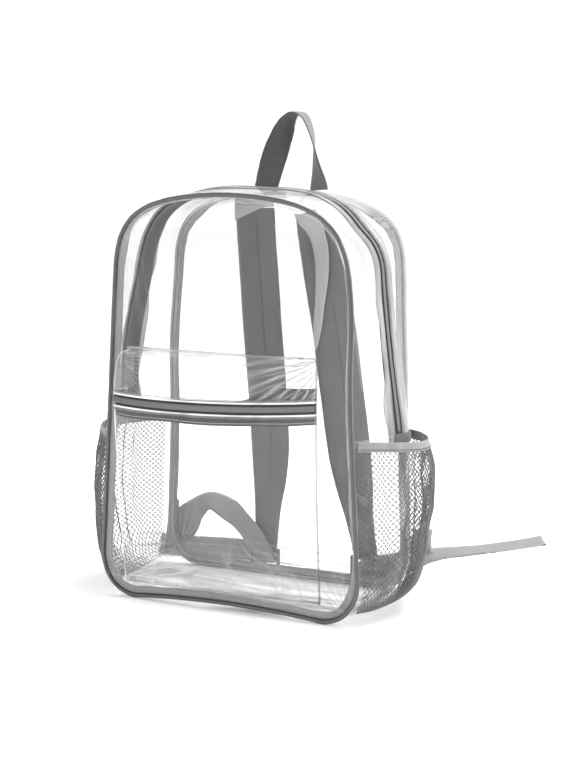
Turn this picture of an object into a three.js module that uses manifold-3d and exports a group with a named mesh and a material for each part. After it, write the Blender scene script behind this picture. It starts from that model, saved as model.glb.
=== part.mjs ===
// Clear stadium backpack: clear vinyl panels joined by a deep gusset, corded edges, an arched main zip,
// a clear front pocket, a net pocket on each side, a webbing grab loop and two shoulder straps.
// Millimetres. The front faces -Y, the straps are at +Y, +Z is up, and the origin is under the middle of the
// bottom, on the floor.
import * as THREE from "three";
import { mergeVertices } from "three/addons/utils/BufferGeometryUtils.js";
import Module from "manifold-3d";

// Bag body
const bagHeight = 430; // floor to the top of the front seam
const bagDepth = 145; // front seam to back seam
const bottomWidth = 298; // widest, just above the bottom corners
const frontTopWidth = 262; // front panel where the arch begins
const backTopWidth = 276; // back panel where the arch begins
const archStart = 350; // height where the sides turn into the arch
const archFlat = 120; // width of the nearly flat stretch on top
const archDrop = 5; // fall of that stretch from its middle to its ends
const archFullness = 0.72; // 0.55 is a quarter circle, more is squarer
const bottomCornerWidth = 42;
const bottomCornerHeight = 46;
const cornerFullness = 0.58;
const frontBottomRise = 5; // bow of the front bottom edge
const lowBulgeLeft = 22; // how far each side stands out under the zip, and where the arch begins
const lowBulgeRight = 14;
const highBulgeLeft = 14;
const highBulgeRight = 2;
const topBulge = 6;
const bottomFlatShare = 1 / 3; // share of the depth where the bottom has come down to the floor
const frontPanelBulge = 12;
const backPanelBulge = 4;

// Stock thicknesses and the gap that sewn pieces keep
const vinyl = 1;
const tapeThickness = 1;
const netThickness = 1;
const clearance = 0.3;
const padClearance = 0.8; // gap over a curved panel
const pipingDiameter = 5;
const seamInset = 2; // outer face of the gusset, in from the outside of the piping
const seamTapeWidth = 11;

// Main zip
const jointHeight = 180; // where the zip gusset meets the low gusset
const zipSetback = 78; // front edge of the gusset to the middle of the zip
const zipOpening = 12.5; // tape that shows between the vinyl edges
const zipTapeWidth = 34;
const coilWidth = 5;
const coilHeight = 2.2;
const bindingBelow = 1.5; // strip across the gusset, below and above the joint
const bindingAbove = 9;
const bindingMargin = 4; // its ends, in from the seams
const sliderHeight = 214; // main slider, on the left side
const sliderWidth = 9;
const sliderLength = 13;
const sliderThickness = 3.2;
const pullWidth = 6;
const pullLength = 28;
const pullThickness = 1.4;
const pullStandoff = 1.2;

// Front pocket
const pocketBottom = 24; // height of its bottom seam
const pocketHeight = 244;
const pocketWidth = 208; // at the zip
const pocketDepth = 40; // how far it stands off the panel at most
const pocketZipHeight = 197; // bottom seam to the middle of the zip, at its ends
const pocketZipSag = 3; // fall of the zip between its ends
const pocketZipOpening = 13;
const pocketTapeWidth = 35;

// Net side pockets
const netSeamHeight = 14; // where the net is sewn in at the bottom
const hemBelowJoint = 4;
const hemTop = jointHeight - hemBelowJoint; // top of the hem at the front seam
const hemFall = 5; // lower than that at the back seam
const hemHeight = 11;
const hemThickness = 1.6;
const netBulgeLeft = 25;
const netBulgeRight = 39;
const netMargin = 3; // net edge, in from the ends of the gusset
const netCornerLift = 4; // how far the net's bottom edge spans off the round corner
const netHoleShare = 0.7; // size of a gap in its diamond
const netAcross = 10; // half diamonds, both even
const netUp = 12;

// Grab loop, straps and webbing
const handleWidth = 27;
const handleThickness = 2.4;
const handleHeight = 81; // above the back seam
const handleLeftFoot = -26;
const handleRightFoot = 37;
const strapWidth = 47;
const strapThickness = 5;
const strapTop = 404;
const strapSag = 15; // how far the strap hangs off the back panel
const leftStrapTop = -41; // where each strap starts and ends, across the back
const leftStrapEnd = -30;
const rightStrapTop = 27;
const rightStrapEnd = 87;
const webbingWidth = 25;
const webbingThickness = 1.6;
const buckleWidth = 36;
const buckleHeight = 23;
const buckleThickness = 4;
const buckleBar = 4;
const buckleCorner = 3;
const buckleFloorGap = 4;
const slotHeight = 6;
const slotWidth = webbingWidth + 1.5;
const leftBuckleSetback = 12; // back seam plane to the middle of each buckle
const rightBuckleSetback = 24;
const tailSlant = 6; // slant-cut end of the loose webbing

// Finishes
const finish = {
  clear: { color: 0xf1f4f5, roughness: 0.08, metalness: 0, transparent: true, opacity: 0.28 },
  trim: { color: 0x6b6c6d, roughness: 0.8, metalness: 0 },
  tape: { color: 0x8f9091, roughness: 0.85, metalness: 0 },
  coil: { color: 0x4a4b4c, roughness: 0.5, metalness: 0 },
  net: { color: 0x8b8c8d, roughness: 0.85, metalness: 0 },
  webbing: { color: 0x757677, roughness: 0.85, metalness: 0 },
  plastic: { color: 0x6a6b6c, roughness: 0.45, metalness: 0 },
  metal: { color: 0x8c8d8e, roughness: 0.35, metalness: 0.9 },
};

const bag = new THREE.Group();
const vector = (x, y, z) => new THREE.Vector3(x, y, z);
const mix = THREE.MathUtils.lerp;

function piece(name, geometry, kind, group = bag) {
  const mesh = new THREE.Mesh(geometry, new THREE.MeshStandardMaterial(finish[kind]));
  mesh.name = name;
  group.add(mesh);
  return mesh;
}

// Closed bodies from corner points. Every four points are one face, split along its first diagonal,
// and the body is turned inside out at the end if its faces point in.
function bodyOf(triangles) {
  const kept = triangles.filter(([a, b, c]) => !(a.equals(b) || b.equals(c) || c.equals(a)));
  const volume = kept.reduce((sum, [a, b, c]) => sum + a.dot(b.clone().cross(c)), 0);
  const ordered = volume > 0 ? kept : kept.map(([a, b, c]) => [a, c, b]);
  const geometry = new THREE.BufferGeometry();
  const numbers = ordered.flat().flatMap((corner) => corner.toArray());
  geometry.setAttribute("position", new THREE.Float32BufferAttribute(numbers, 3));
  geometry.computeVertexNormals();
  return geometry;
}

const split = (a, b, c, d) => [[a, b, c], [a, c, d]];
const splitAcross = (a, b, c, d) => [[a, b, d], [b, c, d]];

// A body through rings of equally many points. The two halves of a ring are the two faces of a sheet, and
// they are split along like diagonals, so that a bent sheet keeps its thickness.
function loft(rings, closed = false) {
  const count = rings[0].length;
  const half = count / 2;
  const triangles = [];
  const spans = closed ? rings.length : rings.length - 1;
  for (let r = 0; r < spans; r++) {
    const here = rings[r];
    const next = rings[(r + 1) % rings.length];
    for (let k = 0; k < count; k++) {
      const after = (k + 1) % count;
      const cut = k < half ? split : splitAcross;
      triangles.push(...cut(here[k], here[after], next[after], next[k]));
    }
  }
  if (!closed) {
    const first = rings[0];
    const last = rings[rings.length - 1];
    for (let k = 0; k < half - 1; k++) {
      const [a, b, c, d] = [k, k + 1, count - 2 - k, count - 1 - k];
      triangles.push(...split(first[b], first[a], first[d], first[c]));
      triangles.push(...split(last[a], last[b], last[c], last[d]));
    }
  }
  return bodyOf(triangles);
}

// A sheet over a grid of places, between two lifts above it
function sheet(columns, rows, place, from, to, closed = false) {
  const rings = columns.map((column) => {
    const outer = rows.map((row) => place(column, row, to));
    const inner = rows.map((row) => place(column, row, from));
    return [...outer, ...inner.reverse()];
  });
  return loft(rings, closed);
}

// Outline of a seam, seen from the front. Its stations run from the middle of the bottom up the right side
// to the middle of the top, and down the left side again, so that station s and -s are mirror images.
const steps = { bottom: 4, corner: 4, lowSide: 3, highSide: 3, arch: 5, top: 3 };
const stationOf = { cornerStart: steps.bottom };
stationOf.cornerEnd = stationOf.cornerStart + steps.corner;
stationOf.belowJoint = stationOf.cornerEnd + steps.lowSide;
stationOf.aboveJoint = stationOf.belowJoint + 1;
stationOf.aboveBinding = stationOf.aboveJoint + 1;
stationOf.archFoot = stationOf.aboveBinding + steps.highSide;
stationOf.top = stationOf.archFoot + steps.arch + steps.top;
const ringCount = 2 * stationOf.top;
const wrapped = (station) => ((station % ringCount) + ringCount) % ringCount;

function seamOutline(topWidth) {
  const bottomHalf = bottomWidth / 2;
  const flatHalf = bottomHalf - bottomCornerWidth;
  const cornerEnd = new THREE.Vector2(bottomHalf, bottomCornerHeight);
  const archFoot = new THREE.Vector2(topWidth / 2, archStart);
  const side = (height) => {
    const share = (height - bottomCornerHeight) / (archStart - bottomCornerHeight);
    return new THREE.Vector2().lerpVectors(cornerEnd, archFoot, share);
  };
  const flatEnd = new THREE.Vector2(archFlat / 2, bagHeight - archDrop);
  const crownSlope = (4 * archDrop) / archFlat;
  const archPeak = flatEnd.y - crownSlope * (archFoot.x - flatEnd.x);
  const round = (from, peak, to, fullness, count) => {
    const near = from.clone().lerp(peak, fullness);
    const far = to.clone().lerp(peak, fullness);
    return new THREE.CubicBezierCurve(from, near, far, to).getPoints(count).slice(1);
  };
  const straight = (from, to, count, at) =>
    Array.from({ length: count }, (_, k) => at(mix(from, to, (k + 1) / count)));
  const flatStart = new THREE.Vector2(flatHalf, 0);
  const bottomPeak = new THREE.Vector2(bottomHalf, 0);
  const seamBelow = jointHeight - clearance / 2;
  const seamAbove = jointHeight + clearance / 2;
  const bindingEnd = jointHeight + bindingAbove + clearance;
  const crown = (x) => new THREE.Vector2(x, bagHeight - archDrop * (x / flatEnd.x) ** 2);
  const right = [
    new THREE.Vector2(0, 0),
    ...straight(0, flatHalf, steps.bottom, (x) => new THREE.Vector2(x, 0)),
    ...round(flatStart, bottomPeak, cornerEnd, cornerFullness, steps.corner),
    ...straight(bottomCornerHeight, seamBelow, steps.lowSide, side),
    side(seamAbove),
    side(bindingEnd),
    ...straight(bindingEnd, archStart, steps.highSide, side),
    ...round(archFoot, side(archPeak), flatEnd, archFullness, steps.arch),
    ...straight(flatEnd.x, 0, steps.top, crown),
  ];
  const left = right.slice(1, -1).reverse().map((p) => new THREE.Vector2(-p.x, p.y));
  return [...right, ...left];
}

const frontOutline = seamOutline(frontTopWidth);
const backOutline = seamOutline(backTopWidth);
const outward = frontOutline.map((_, s) => {
  const sum = new THREE.Vector2();
  for (const outline of [frontOutline, backOutline]) {
    sum.add(outline[wrapped(s + 1)]).sub(outline[wrapped(s - 1)]);
  }
  return new THREE.Vector2(sum.y, -sum.x).normalize();
});

// A value of a ring between two of its stations
function between(ring, station) {
  const low = Math.floor(station);
  const a = ring[wrapped(low)];
  const b = ring[wrapped(low + 1)];
  return a.clone().lerp(b, station - low);
}

// The bow of the front bottom edge, which is gone where the bottom lies flat
function bottomRise(station) {
  const s = wrapped(station);
  const fromMiddle = Math.min(s, ringCount - s) / stationOf.cornerStart;
  return fromMiddle < 1 ? frontBottomRise * (1 - fromMiddle ** 2) : 0;
}

// A point of the seam outline, moved in from it by inset
function seamPoint(outline, station, inset, y) {
  const at = between(outline, station);
  const out = between(outward, station).normalize();
  const rise = outline === frontOutline ? bottomRise(station) : 0;
  return vector(at.x - out.x * inset, y, at.y - out.y * inset + rise);
}

// A point of the gusset: share 0 at the front seam, 1 at the back seam, and lift above its inner face
const gussetHalf = bagDepth / 2 - pipingDiameter / 2 - clearance;
const gussetDepth = 2 * gussetHalf;
const depthShare = (distance) => distance / gussetDepth;
function gussetPoint(station, share, lift) {
  const front = between(frontOutline, station);
  const back = between(backOutline, station);
  const out = between(outward, station).normalize();
  const dome = Math.sin(Math.PI * share);
  const flatDome = Math.min(1, dome / Math.sin(Math.PI * bottomFlatShare));
  const upright = out.y < 0 ? seamInset * flatDome : topBulge * dome;
  const high = THREE.MathUtils.smoothstep(front.y, jointHeight, archStart);
  const sideways = out.x < 0 ? mix(lowBulgeLeft, highBulgeLeft, high) : mix(lowBulgeRight, highBulgeRight, high);
  const bulge = out.x ** 2 * sideways * dome + out.y ** 2 * upright;
  const offset = lift - vinyl - seamInset + bulge;
  const rise = bottomRise(station) * Math.max(0, 1 - share / bottomFlatShare);
  const x = mix(front.x, back.x, share) + out.x * offset;
  const z = mix(front.y, back.y, share) + out.y * offset + rise;
  return vector(x, mix(-gussetHalf, gussetHalf, share), z);
}

// The station on the right side at a height
function stationAtHeight(height) {
  let low = stationOf.cornerStart;
  while (low < stationOf.archFoot && frontOutline[low + 1].y < height) low++;
  const [a, b] = [frontOutline[low].y, frontOutline[low + 1].y];
  return low + (height - a) / (b - a);
}

const stations = (from, to) => Array.from({ length: to - from + 1 }, (_, k) => from + k);
const wholeRing = stations(0, ringCount - 1);

// Front and back panels: domed sheets inside the piping
const panelInset = pipingDiameter + clearance;
function panelFace(x, z, side) {
  const acrossShare = x / (bottomWidth / 2);
  const upShare = (z - bagHeight / 2) / (bagHeight / 2);
  const bulge = side < 0 ? frontPanelBulge : backPanelBulge;
  return side * (bagDepth / 2 + bulge * Math.max(0, 1 - acrossShare ** 2) * Math.max(0, 1 - upShare ** 2));
}

function panel(outline, side) {
  const middle = vector(0, 0, bagHeight / 2);
  const place = (station, share, lift) => {
    const edge = seamPoint(outline, station, panelInset, 0);
    const at = middle.clone().lerp(edge, share);
    return at.setY(panelFace(at.x, at.z, side) + side * lift);
  };
  return sheet(wholeRing, [1, 0.7, 0.36, 0], place, -vinyl / 2, vinyl / 2, true);
}
piece("front_panel", panel(frontOutline, -1), "clear");
piece("back_panel", panel(backOutline, 1), "clear");

// Piping round both panels
function piping(outline, side) {
  const radius = pipingDiameter / 2;
  const corners = 6;
  return loft(
    wholeRing.map((station) =>
      Array.from({ length: corners }, (_, k) => {
        const angle = (2 * Math.PI * k) / corners;
        const inset = radius - radius * Math.cos(angle);
        return seamPoint(outline, station, inset, (side * bagDepth) / 2 + radius * Math.sin(angle));
      }),
    ),
    true,
  );
}
piece("front_piping", piping(frontOutline, -1), "trim");
piece("back_piping", piping(backOutline, 1), "trim");

// Binding of the seam allowance, behind the edge of each panel
function seamTape(outline, side) {
  const face = side * (bagDepth / 2 - vinyl / 2 - clearance);
  const place = (station, width, lift) => seamPoint(outline, station, panelInset + width, face - side * lift);
  return sheet(wholeRing, [0, seamTapeWidth], place, 0, tapeThickness, true);
}
piece("front_seam_tape", seamTape(frontOutline, -1), "tape");
piece("back_seam_tape", seamTape(backOutline, 1), "tape");

// Gusset: one sheet round the bottom, and one on each side of the zip over the top
const zipEdges = [-zipTapeWidth / 2, -zipOpening / 2, zipOpening / 2, zipTapeWidth / 2].map((across) =>
  depthShare(zipSetback + across),
);
const frontShares = [0, zipEdges[0] * 0.4, zipEdges[0] * 0.75, zipEdges[0], zipEdges[1]];
const rearShares = [zipEdges[2], zipEdges[3], mix(zipEdges[3], 1, 0.5), 1];
const lowShares = [0, 1 / 6, 1 / 3, 1 / 2, 2 / 3, 5 / 6, 1];
const zipStations = stations(stationOf.aboveJoint, ringCount - stationOf.aboveJoint);
const lowStations = stations(-stationOf.belowJoint, stationOf.belowJoint);
piece("upper_gusset_front", sheet(zipStations, frontShares, gussetPoint, 0, vinyl), "clear");
piece("upper_gusset_rear", sheet(zipStations, rearShares, gussetPoint, 0, vinyl), "clear");
piece("lower_gusset", sheet(lowStations, lowShares, gussetPoint, 0, vinyl), "clear");

// Main zip: a tape under both vinyl edges, the coil in its middle
const tapeLift = -clearance - tapeThickness;
piece("main_zip_tape", sheet(zipStations, zipEdges, gussetPoint, tapeLift, -clearance), "tape");
const coilStations = stations(stationOf.aboveBinding, ringCount - stationOf.aboveBinding);
const coilShares = [-coilWidth / 2, coilWidth / 2].map((across) => depthShare(zipSetback + across));
piece("main_zip_coil", sheet(coilStations, coilShares, gussetPoint, 0, coilHeight), "coil");

// Strip across the gusset over each end of the zip
const bindingShares = [
  depthShare(bindingMargin),
  lowShares[1],
  lowShares[2],
  ...zipEdges,
  rearShares[2],
  1 - depthShare(bindingMargin),
];
const bindingHeights = [jointHeight - bindingBelow, jointHeight + bindingAbove];
for (const [name, side] of [["left", -1], ["right", 1]]) {
  const place = (share, height, lift) => gussetPoint(side * stationAtHeight(height), share, lift);
  const lifts = [vinyl + clearance, vinyl + clearance + tapeThickness];
  piece(`zip_end_binding_${name}`, sheet(bindingShares, bindingHeights, place, ...lifts), "trim");
}

// Solids for joining and cutting
const wasm = await Module();
wasm.setup();
function solid(geometry) {
  const bare = geometry.index ? geometry.toNonIndexed() : geometry.clone();
  bare.deleteAttribute("normal");
  bare.deleteAttribute("uv");
  const merged = mergeVertices(bare, 1e-3);
  const mesh = new wasm.Mesh({
    numProp: 3,
    vertProperties: merged.attributes.position.array,
    triVerts: new Uint32Array(merged.index.array),
  });
  return new wasm.Manifold(mesh);
}

function geometryOf(body) {
  const mesh = body.getMesh();
  const geometry = new THREE.BufferGeometry();
  geometry.setAttribute("position", new THREE.BufferAttribute(mesh.vertProperties, 3));
  geometry.setIndex(new THREE.BufferAttribute(mesh.triVerts, 1));
  geometry.computeVertexNormals();
  return geometry;
}

// A rounded rectangle round the origin
function roundedShape(width, height, corner) {
  const [x, y] = [width / 2, height / 2];
  const shape = new THREE.Shape();
  shape.moveTo(corner - x, -y);
  shape.lineTo(x - corner, -y);
  shape.quadraticCurveTo(x, -y, x, corner - y);
  shape.lineTo(x, y - corner);
  shape.quadraticCurveTo(x, y, x - corner, y);
  shape.lineTo(corner - x, y);
  shape.quadraticCurveTo(-x, y, -x, y - corner);
  shape.lineTo(-x, corner - y);
  shape.quadraticCurveTo(-x, -y, corner - x, -y);
  return shape;
}

const plate = (shape, depth) => new THREE.ExtrudeGeometry(shape, { depth, bevelEnabled: false, curveSegments: 2 });

// Slider: a body over the coil, a post and a pull that hangs down from it. Its own +Z points out of the
// bag and its own +Y runs up the zip.
const sliderBody = plate(roundedShape(sliderWidth, sliderLength, sliderWidth / 4), sliderThickness);
const pullBase = sliderThickness + pullStandoff;
const pull = plate(roundedShape(pullWidth, pullLength, pullWidth / 4), pullThickness);
pull.translate(0, (pullWidth - pullLength) / 2, pullBase);
const post = new THREE.BoxGeometry(pullWidth / 2, pullWidth / 2, pullBase + pullThickness / 2);
post.translate(0, 0, (pullBase + pullThickness / 2) / 2 + sliderThickness / 4);
const slider = solid(sliderBody).add(solid(pull)).add(solid(post));
const sliderSeat = new THREE.Group();
const sliderStation = -stationAtHeight(sliderHeight);
const sliderShare = depthShare(zipSetback);
sliderSeat.position.copy(gussetPoint(sliderStation, sliderShare, coilHeight + clearance));
const zipUp = gussetPoint(sliderStation - 0.5, sliderShare, 0).sub(gussetPoint(sliderStation, sliderShare, 0));
zipUp.normalize();
const zipAcross = vector(0, -1, 0);
const zipOut = zipAcross.clone().cross(zipUp).normalize();
sliderSeat.setRotationFromMatrix(new THREE.Matrix4().makeBasis(zipAcross, zipUp, zipOut));
piece("main_zip_slider", geometryOf(slider), "metal", sliderSeat);
bag.add(sliderSeat);

// Front pocket. Across and proud follow the bag's width and the pocket's depth: the left side is a deep fold,
// and the right side runs flat into its seam.
const pocketColumns = [
  { across: -1.0, proud: 0.0 },
  { across: -1.01, proud: 0.4 },
  { across: -1.01, proud: 0.82 },
  { across: -0.94, proud: 1.0 },
  { across: -0.6, proud: 0.97 },
  { across: -0.2, proud: 0.8 },
  { across: 0.25, proud: 0.56 },
  { across: 0.65, proud: 0.3 },
  { across: 0.92, proud: 0.1 },
  { across: 1.0, proud: 0.0 },
];
// Up is a share of the way to the zip below it, or from the zip to the top seam above it.
const pocketLowRows = [
  { up: 0.0, wide: 1.03, proud: 0.0, sag: 0.0 },
  { up: 0.01, wide: 1.04, proud: 0.42, sag: 0.0 },
  { up: 0.22, wide: 1.03, proud: 0.56, sag: 0.15 },
  { up: 0.62, wide: 1.01, proud: 0.8, sag: 0.6 },
];
const pocketHighRows = [
  { up: 0.6, wide: 1.0, proud: 0.93, sag: 0.4 },
  { up: 0.93, wide: 1.0, proud: 0.72, sag: 0.08 },
  { up: 1.0, wide: 1.0, proud: 0.0, sag: 0.0 },
];
const tapeBottom = pocketZipHeight - pocketTapeWidth / 2;
const tapeTop = pocketZipHeight + pocketTapeWidth / 2;
const zipRow = (height) => ({ height, wide: 1, proud: 1, sag: 1 });
const pocketRows = [
  ...pocketLowRows.map((row) => ({ ...row, height: row.up * tapeBottom })),
  zipRow(tapeBottom),
  zipRow(pocketZipHeight - pocketZipOpening / 2),
  zipRow(pocketZipHeight + pocketZipOpening / 2),
  zipRow(tapeTop),
  ...pocketHighRows.map((row) => ({ ...row, height: mix(tapeTop, pocketHeight, row.up) })),
];
const zipRowStart = pocketLowRows.length;
const pocketGrid = pocketColumns.map((column) =>
  pocketRows.map((row) => {
    const x = (column.across * row.wide * pocketWidth) / 2;
    const z = pocketBottom + row.height - row.sag * pocketZipSag * Math.max(0, 1 - column.across ** 2);
    const seat = panelFace(x, z, -1) - vinyl / 2 - padClearance;
    return vector(x, seat - column.proud * row.proud * pocketDepth, z);
  }),
);
const pocketOut = pocketGrid.map((column, c) =>
  column.map((_, r) => {
    const before = pocketGrid[Math.max(c - 1, 0)][r];
    const after = pocketGrid[Math.min(c + 1, pocketGrid.length - 1)][r];
    const below = column[Math.max(r - 1, 0)];
    const above = column[Math.min(r + 1, column.length - 1)];
    const out = after.clone().sub(before).cross(above.clone().sub(below));
    return out.setY(Math.min(out.y, 0)).normalize(); // no edge leans back into the panel
  }),
);
function pocketPoint(column, row, lift) {
  const low = Math.floor(row);
  const high = Math.min(low + 1, pocketRows.length - 1);
  const at = pocketGrid[column][low].clone().lerp(pocketGrid[column][high], row - low);
  const out = pocketOut[column][low].clone().lerp(pocketOut[column][high], row - low).normalize();
  return at.addScaledVector(out, lift);
}
const allColumns = stations(0, pocketColumns.length - 1);
const tapeColumns = stations(1, pocketColumns.length - 2);
const bodyRows = stations(0, zipRowStart + 1);
const topRows = stations(zipRowStart + 2, pocketRows.length - 1);
const tapeRows = stations(zipRowStart, zipRowStart + 3);
const coilHalfShare = coilWidth / 2 / pocketZipOpening;
const coilRows = [-coilHalfShare, coilHalfShare].map((share) => zipRowStart + 1.5 + share);
piece("pocket_body", sheet(allColumns, bodyRows, pocketPoint, 0, vinyl), "clear");
piece("pocket_top", sheet(allColumns, topRows, pocketPoint, 0, vinyl), "clear");
piece("pocket_zip_tape", sheet(tapeColumns, tapeRows, pocketPoint, tapeLift, -clearance), "tape");
piece("pocket_zip_coil", sheet(tapeColumns.slice(1), coilRows, pocketPoint, 0, coilHeight), "coil");

// Net side pockets, sewn in along the seams and the bottom and standing off the gusset between them.
// Up is a share of the pocket's height, out a share of its bulge.
const netProfile = [
  { up: 0.0, out: 0.0 },
  { up: 0.12, out: 0.42 },
  { up: 0.3, out: 0.8 },
  { up: 0.55, out: 1.0 },
  { up: 0.8, out: 0.93 },
  { up: 1.0, out: 0.72 },
];
function netOut(up) {
  const next = Math.max(1, netProfile.findIndex((row) => row.up >= Math.min(up, 1)));
  const [low, high] = [netProfile[next - 1], netProfile[next]];
  return mix(low.out, high.out, (up - low.up) / (high.up - low.up));
}
function netPoint(side, across, height, lift) {
  const share = mix(depthShare(netMargin), 1 - depthShare(netMargin), across);
  const up = (height - netSeamHeight) / (hemTop - netSeamHeight);
  const bulge = (side < 0 ? netBulgeLeft : netBulgeRight) * Math.sin(Math.PI * across) ** 0.85;
  const cornerShare = Math.max(0, 1 - (height - netSeamHeight) / bottomCornerHeight);
  const base = vinyl + 2 * clearance + netCornerLift * cornerShare;
  return gussetPoint(side * stationAtHeight(height), share, base + bulge * netOut(up) + lift);
}

// Net of diamond gaps: whole diamonds carry a gap, half diamonds close the edges
function net(place) {
  const triangles = [];
  const point = (a, b, lift) => place(a / netAcross, b / netUp, lift);
  const top = (corner) => point(...corner, netThickness);
  const under = (corner) => point(...corner, 0);
  const face = (p, q, r) => {
    triangles.push([top(p), top(q), top(r)]);
    triangles.push([under(p), under(r), under(q)]);
  };
  const wall = (p, q) => triangles.push(...split(top(p), top(q), under(q), under(p)));
  const compass = [[1, 0], [0, 1], [-1, 0], [0, -1]];
  for (let a = 0; a <= netAcross; a++) {
    for (let b = 0; b <= netUp; b++) {
      if ((a + b) % 2 === 0) continue;
      const inside = ([u, v]) => u >= 0 && v >= 0 && u <= netAcross && v <= netUp;
      const corners = compass.map(([u, v]) => [a + u, b + v]);
      if (corners.every(inside)) {
        const gap = compass.map(([u, v]) => [a + u * netHoleShare, b + v * netHoleShare]);
        for (let k = 0; k < 4; k++) {
          const after = (k + 1) % 4;
          face(corners[k], corners[after], gap[after]);
          face(corners[k], gap[after], gap[k]);
          wall(gap[k], gap[after]);
        }
      } else {
        const missing = corners.findIndex((corner) => !inside(corner));
        const kept = [1, 2, 3].map((k) => corners[(missing + k) % 4]);
        face(...kept);
        wall(kept[0], kept[2]);
      }
    }
  }
  return bodyOf(triangles);
}

const hemColumns = stations(0, netAcross).map((a) => a / netAcross);
for (const [name, side] of [["left", -1], ["right", 1]]) {
  const topAt = (across) => hemTop - hemFall * across;
  const netPlace = (across, up, lift) => {
    const height = mix(netSeamHeight, topAt(across) - hemHeight - clearance, up);
    return netPoint(side, across, height, lift);
  };
  piece(`mesh_pocket_${name}`, net(netPlace), "net");
  const hemPlace = (across, below, lift) => netPoint(side, across, topAt(across) - below, lift);
  const hem = sheet(hemColumns, [hemHeight, 0], hemPlace, -0.2 * hemThickness, 0.8 * hemThickness);
  piece(`mesh_hem_${name}`, hem, "tape");
}

// A ribbon along a route. Each row of the route gives a point, the way the width runs there, and the width.
const flatSection = [[-1, -1], [1, -1], [1, 1], [-1, 1]];
const paddedSection = [[-1, -0.3], [-0.6, -1], [0.6, -1], [1, -0.3], [1, 0.3], [0.6, 1], [-0.6, 1], [-1, 0.3]];
function ribbon(route, thickness, section, stepsPerSpan, endSlant = 0) {
  const curve = new THREE.CatmullRomCurve3(route.map((row) => row.at), false, "centripetal");
  const count = (route.length - 1) * stepsPerSpan;
  const rings = stations(0, count).map((k) => {
    const low = Math.min(Math.floor(k / stepsPerSpan), route.length - 2);
    const share = k / stepsPerSpan - low;
    const along = curve.getTangent(k / count);
    const across = route[low].wide.clone().lerp(route[low + 1].wide, share);
    across.addScaledVector(along, -across.dot(along)).normalize();
    const out = along.clone().cross(across);
    const width = mix(route[low].width, route[low + 1].width, share);
    const slant = k === count ? endSlant : 0;
    return section.map(([u, v]) =>
      curve
        .getPoint(k / count)
        .addScaledVector(across, (u * width) / 2)
        .addScaledVector(out, (v * thickness) / 2)
        .addScaledVector(along, u * slant),
    );
  });
  return loft(rings);
}

// Grab loop: webbing that makes a half turn on its way over. Across and up are shares of its span and height.
const backSeam = bagDepth / 2;
const handleRows = [
  { across: 0.0, up: 0.0, turn: 0 },
  { across: 0.0, up: 0.08, turn: 4 },
  { across: 0.13, up: 0.38, turn: 25 },
  { across: 0.37, up: 0.76, turn: 60 },
  { across: 0.64, up: 1.0, turn: 92 },
  { across: 0.9, up: 0.76, turn: 104 },
  { across: 0.99, up: 0.38, turn: 130 },
  { across: 1.0, up: 0.08, turn: 176 },
  { across: 1.0, up: 0.0, turn: 180 },
];
const handleBase = bagHeight + clearance;
const handleRoute = handleRows.map(({ across, up, turn }) => ({
  at: vector(mix(handleLeftFoot, handleRightFoot, across), backSeam, handleBase + up * handleHeight),
  wide: vector(Math.cos(THREE.MathUtils.degToRad(turn)), Math.sin(THREE.MathUtils.degToRad(turn)), 0),
  width: handleWidth,
}));
piece("handle", ribbon(handleRoute, handleThickness, flatSection, 3), "webbing");

// Shoulder straps. Down and drift are shares of the way to the buckle, off a share of the sag, or none where
// the strap's end hangs in line with its buckle, and width a share too.
const strapRows = [
  { down: 0.0, off: 0.0, drift: 0.0, width: 1.0 },
  { down: 0.08, off: 0.12, drift: 0.12, width: 1.0 },
  { down: 0.22, off: 0.42, drift: 0.22, width: 1.0 },
  { down: 0.42, off: 0.72, drift: 0.4, width: 1.0 },
  { down: 0.62, off: 0.86, drift: 0.62, width: 1.0 },
  { down: 0.82, off: 0.8, drift: 0.84, width: 1.0 },
  { down: 0.92, off: 0.7, drift: 0.95, width: 0.78 },
  { down: 0.98, off: null, drift: 1.0, width: 0.66 },
  { down: 1.0, off: null, drift: 1.0, width: 0.64 },
];
const buckleTop = buckleFloorGap + buckleHeight;
const strapEnd = buckleTop + clearance;
const strapSeat = vinyl / 2 + padClearance + strapThickness / 2;
function strapRoute(top, end, setback) {
  return strapRows.map(({ down, off, drift, width }) => {
    const x = mix(top, end, drift);
    const z = mix(strapTop, strapEnd, down);
    const hanging = panelFace(x, z, 1) + strapSeat + off * strapSag + down * (setback - leftBuckleSetback);
    const y = off === null ? backSeam + setback : hanging;
    return { at: vector(x, y, z), wide: vector(1, 0, 0), width: width * strapWidth };
  });
}
const straps = [
  { name: "left", side: -1, top: leftStrapTop, end: leftStrapEnd, setback: leftBuckleSetback },
  { name: "right", side: 1, top: rightStrapTop, end: rightStrapEnd, setback: rightBuckleSetback },
];
for (const { name, top, end, setback } of straps) {
  const geometry = ribbon(strapRoute(top, end, setback), strapThickness, paddedSection, 2);
  piece(`shoulder_strap_${name}`, geometry, "webbing");
}

// Ladder-lock buckles: a plate with two slots, upright under each strap
for (const { name, end, setback } of straps) {
  const shape = roundedShape(buckleWidth, buckleHeight, buckleCorner);
  const lowSlot = -buckleHeight / 2 + buckleBar + slotHeight / 2;
  const highSlot = buckleHeight / 2 - buckleBar - slotHeight / 2;
  for (const middle of [lowSlot, highSlot]) {
    const slot = new THREE.Path();
    slot.moveTo(-slotWidth / 2, middle - slotHeight / 2);
    slot.lineTo(-slotWidth / 2, middle + slotHeight / 2);
    slot.lineTo(slotWidth / 2, middle + slotHeight / 2);
    slot.lineTo(slotWidth / 2, middle - slotHeight / 2);
    slot.closePath();
    shape.holes.push(slot);
  }
  const buckle = piece(`buckle_${name}`, plate(shape, buckleThickness), "plastic");
  buckle.rotation.x = Math.PI / 2;
  buckle.position.set(end, backSeam + setback + buckleThickness / 2, buckleFloorGap + buckleHeight / 2);
}

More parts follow.
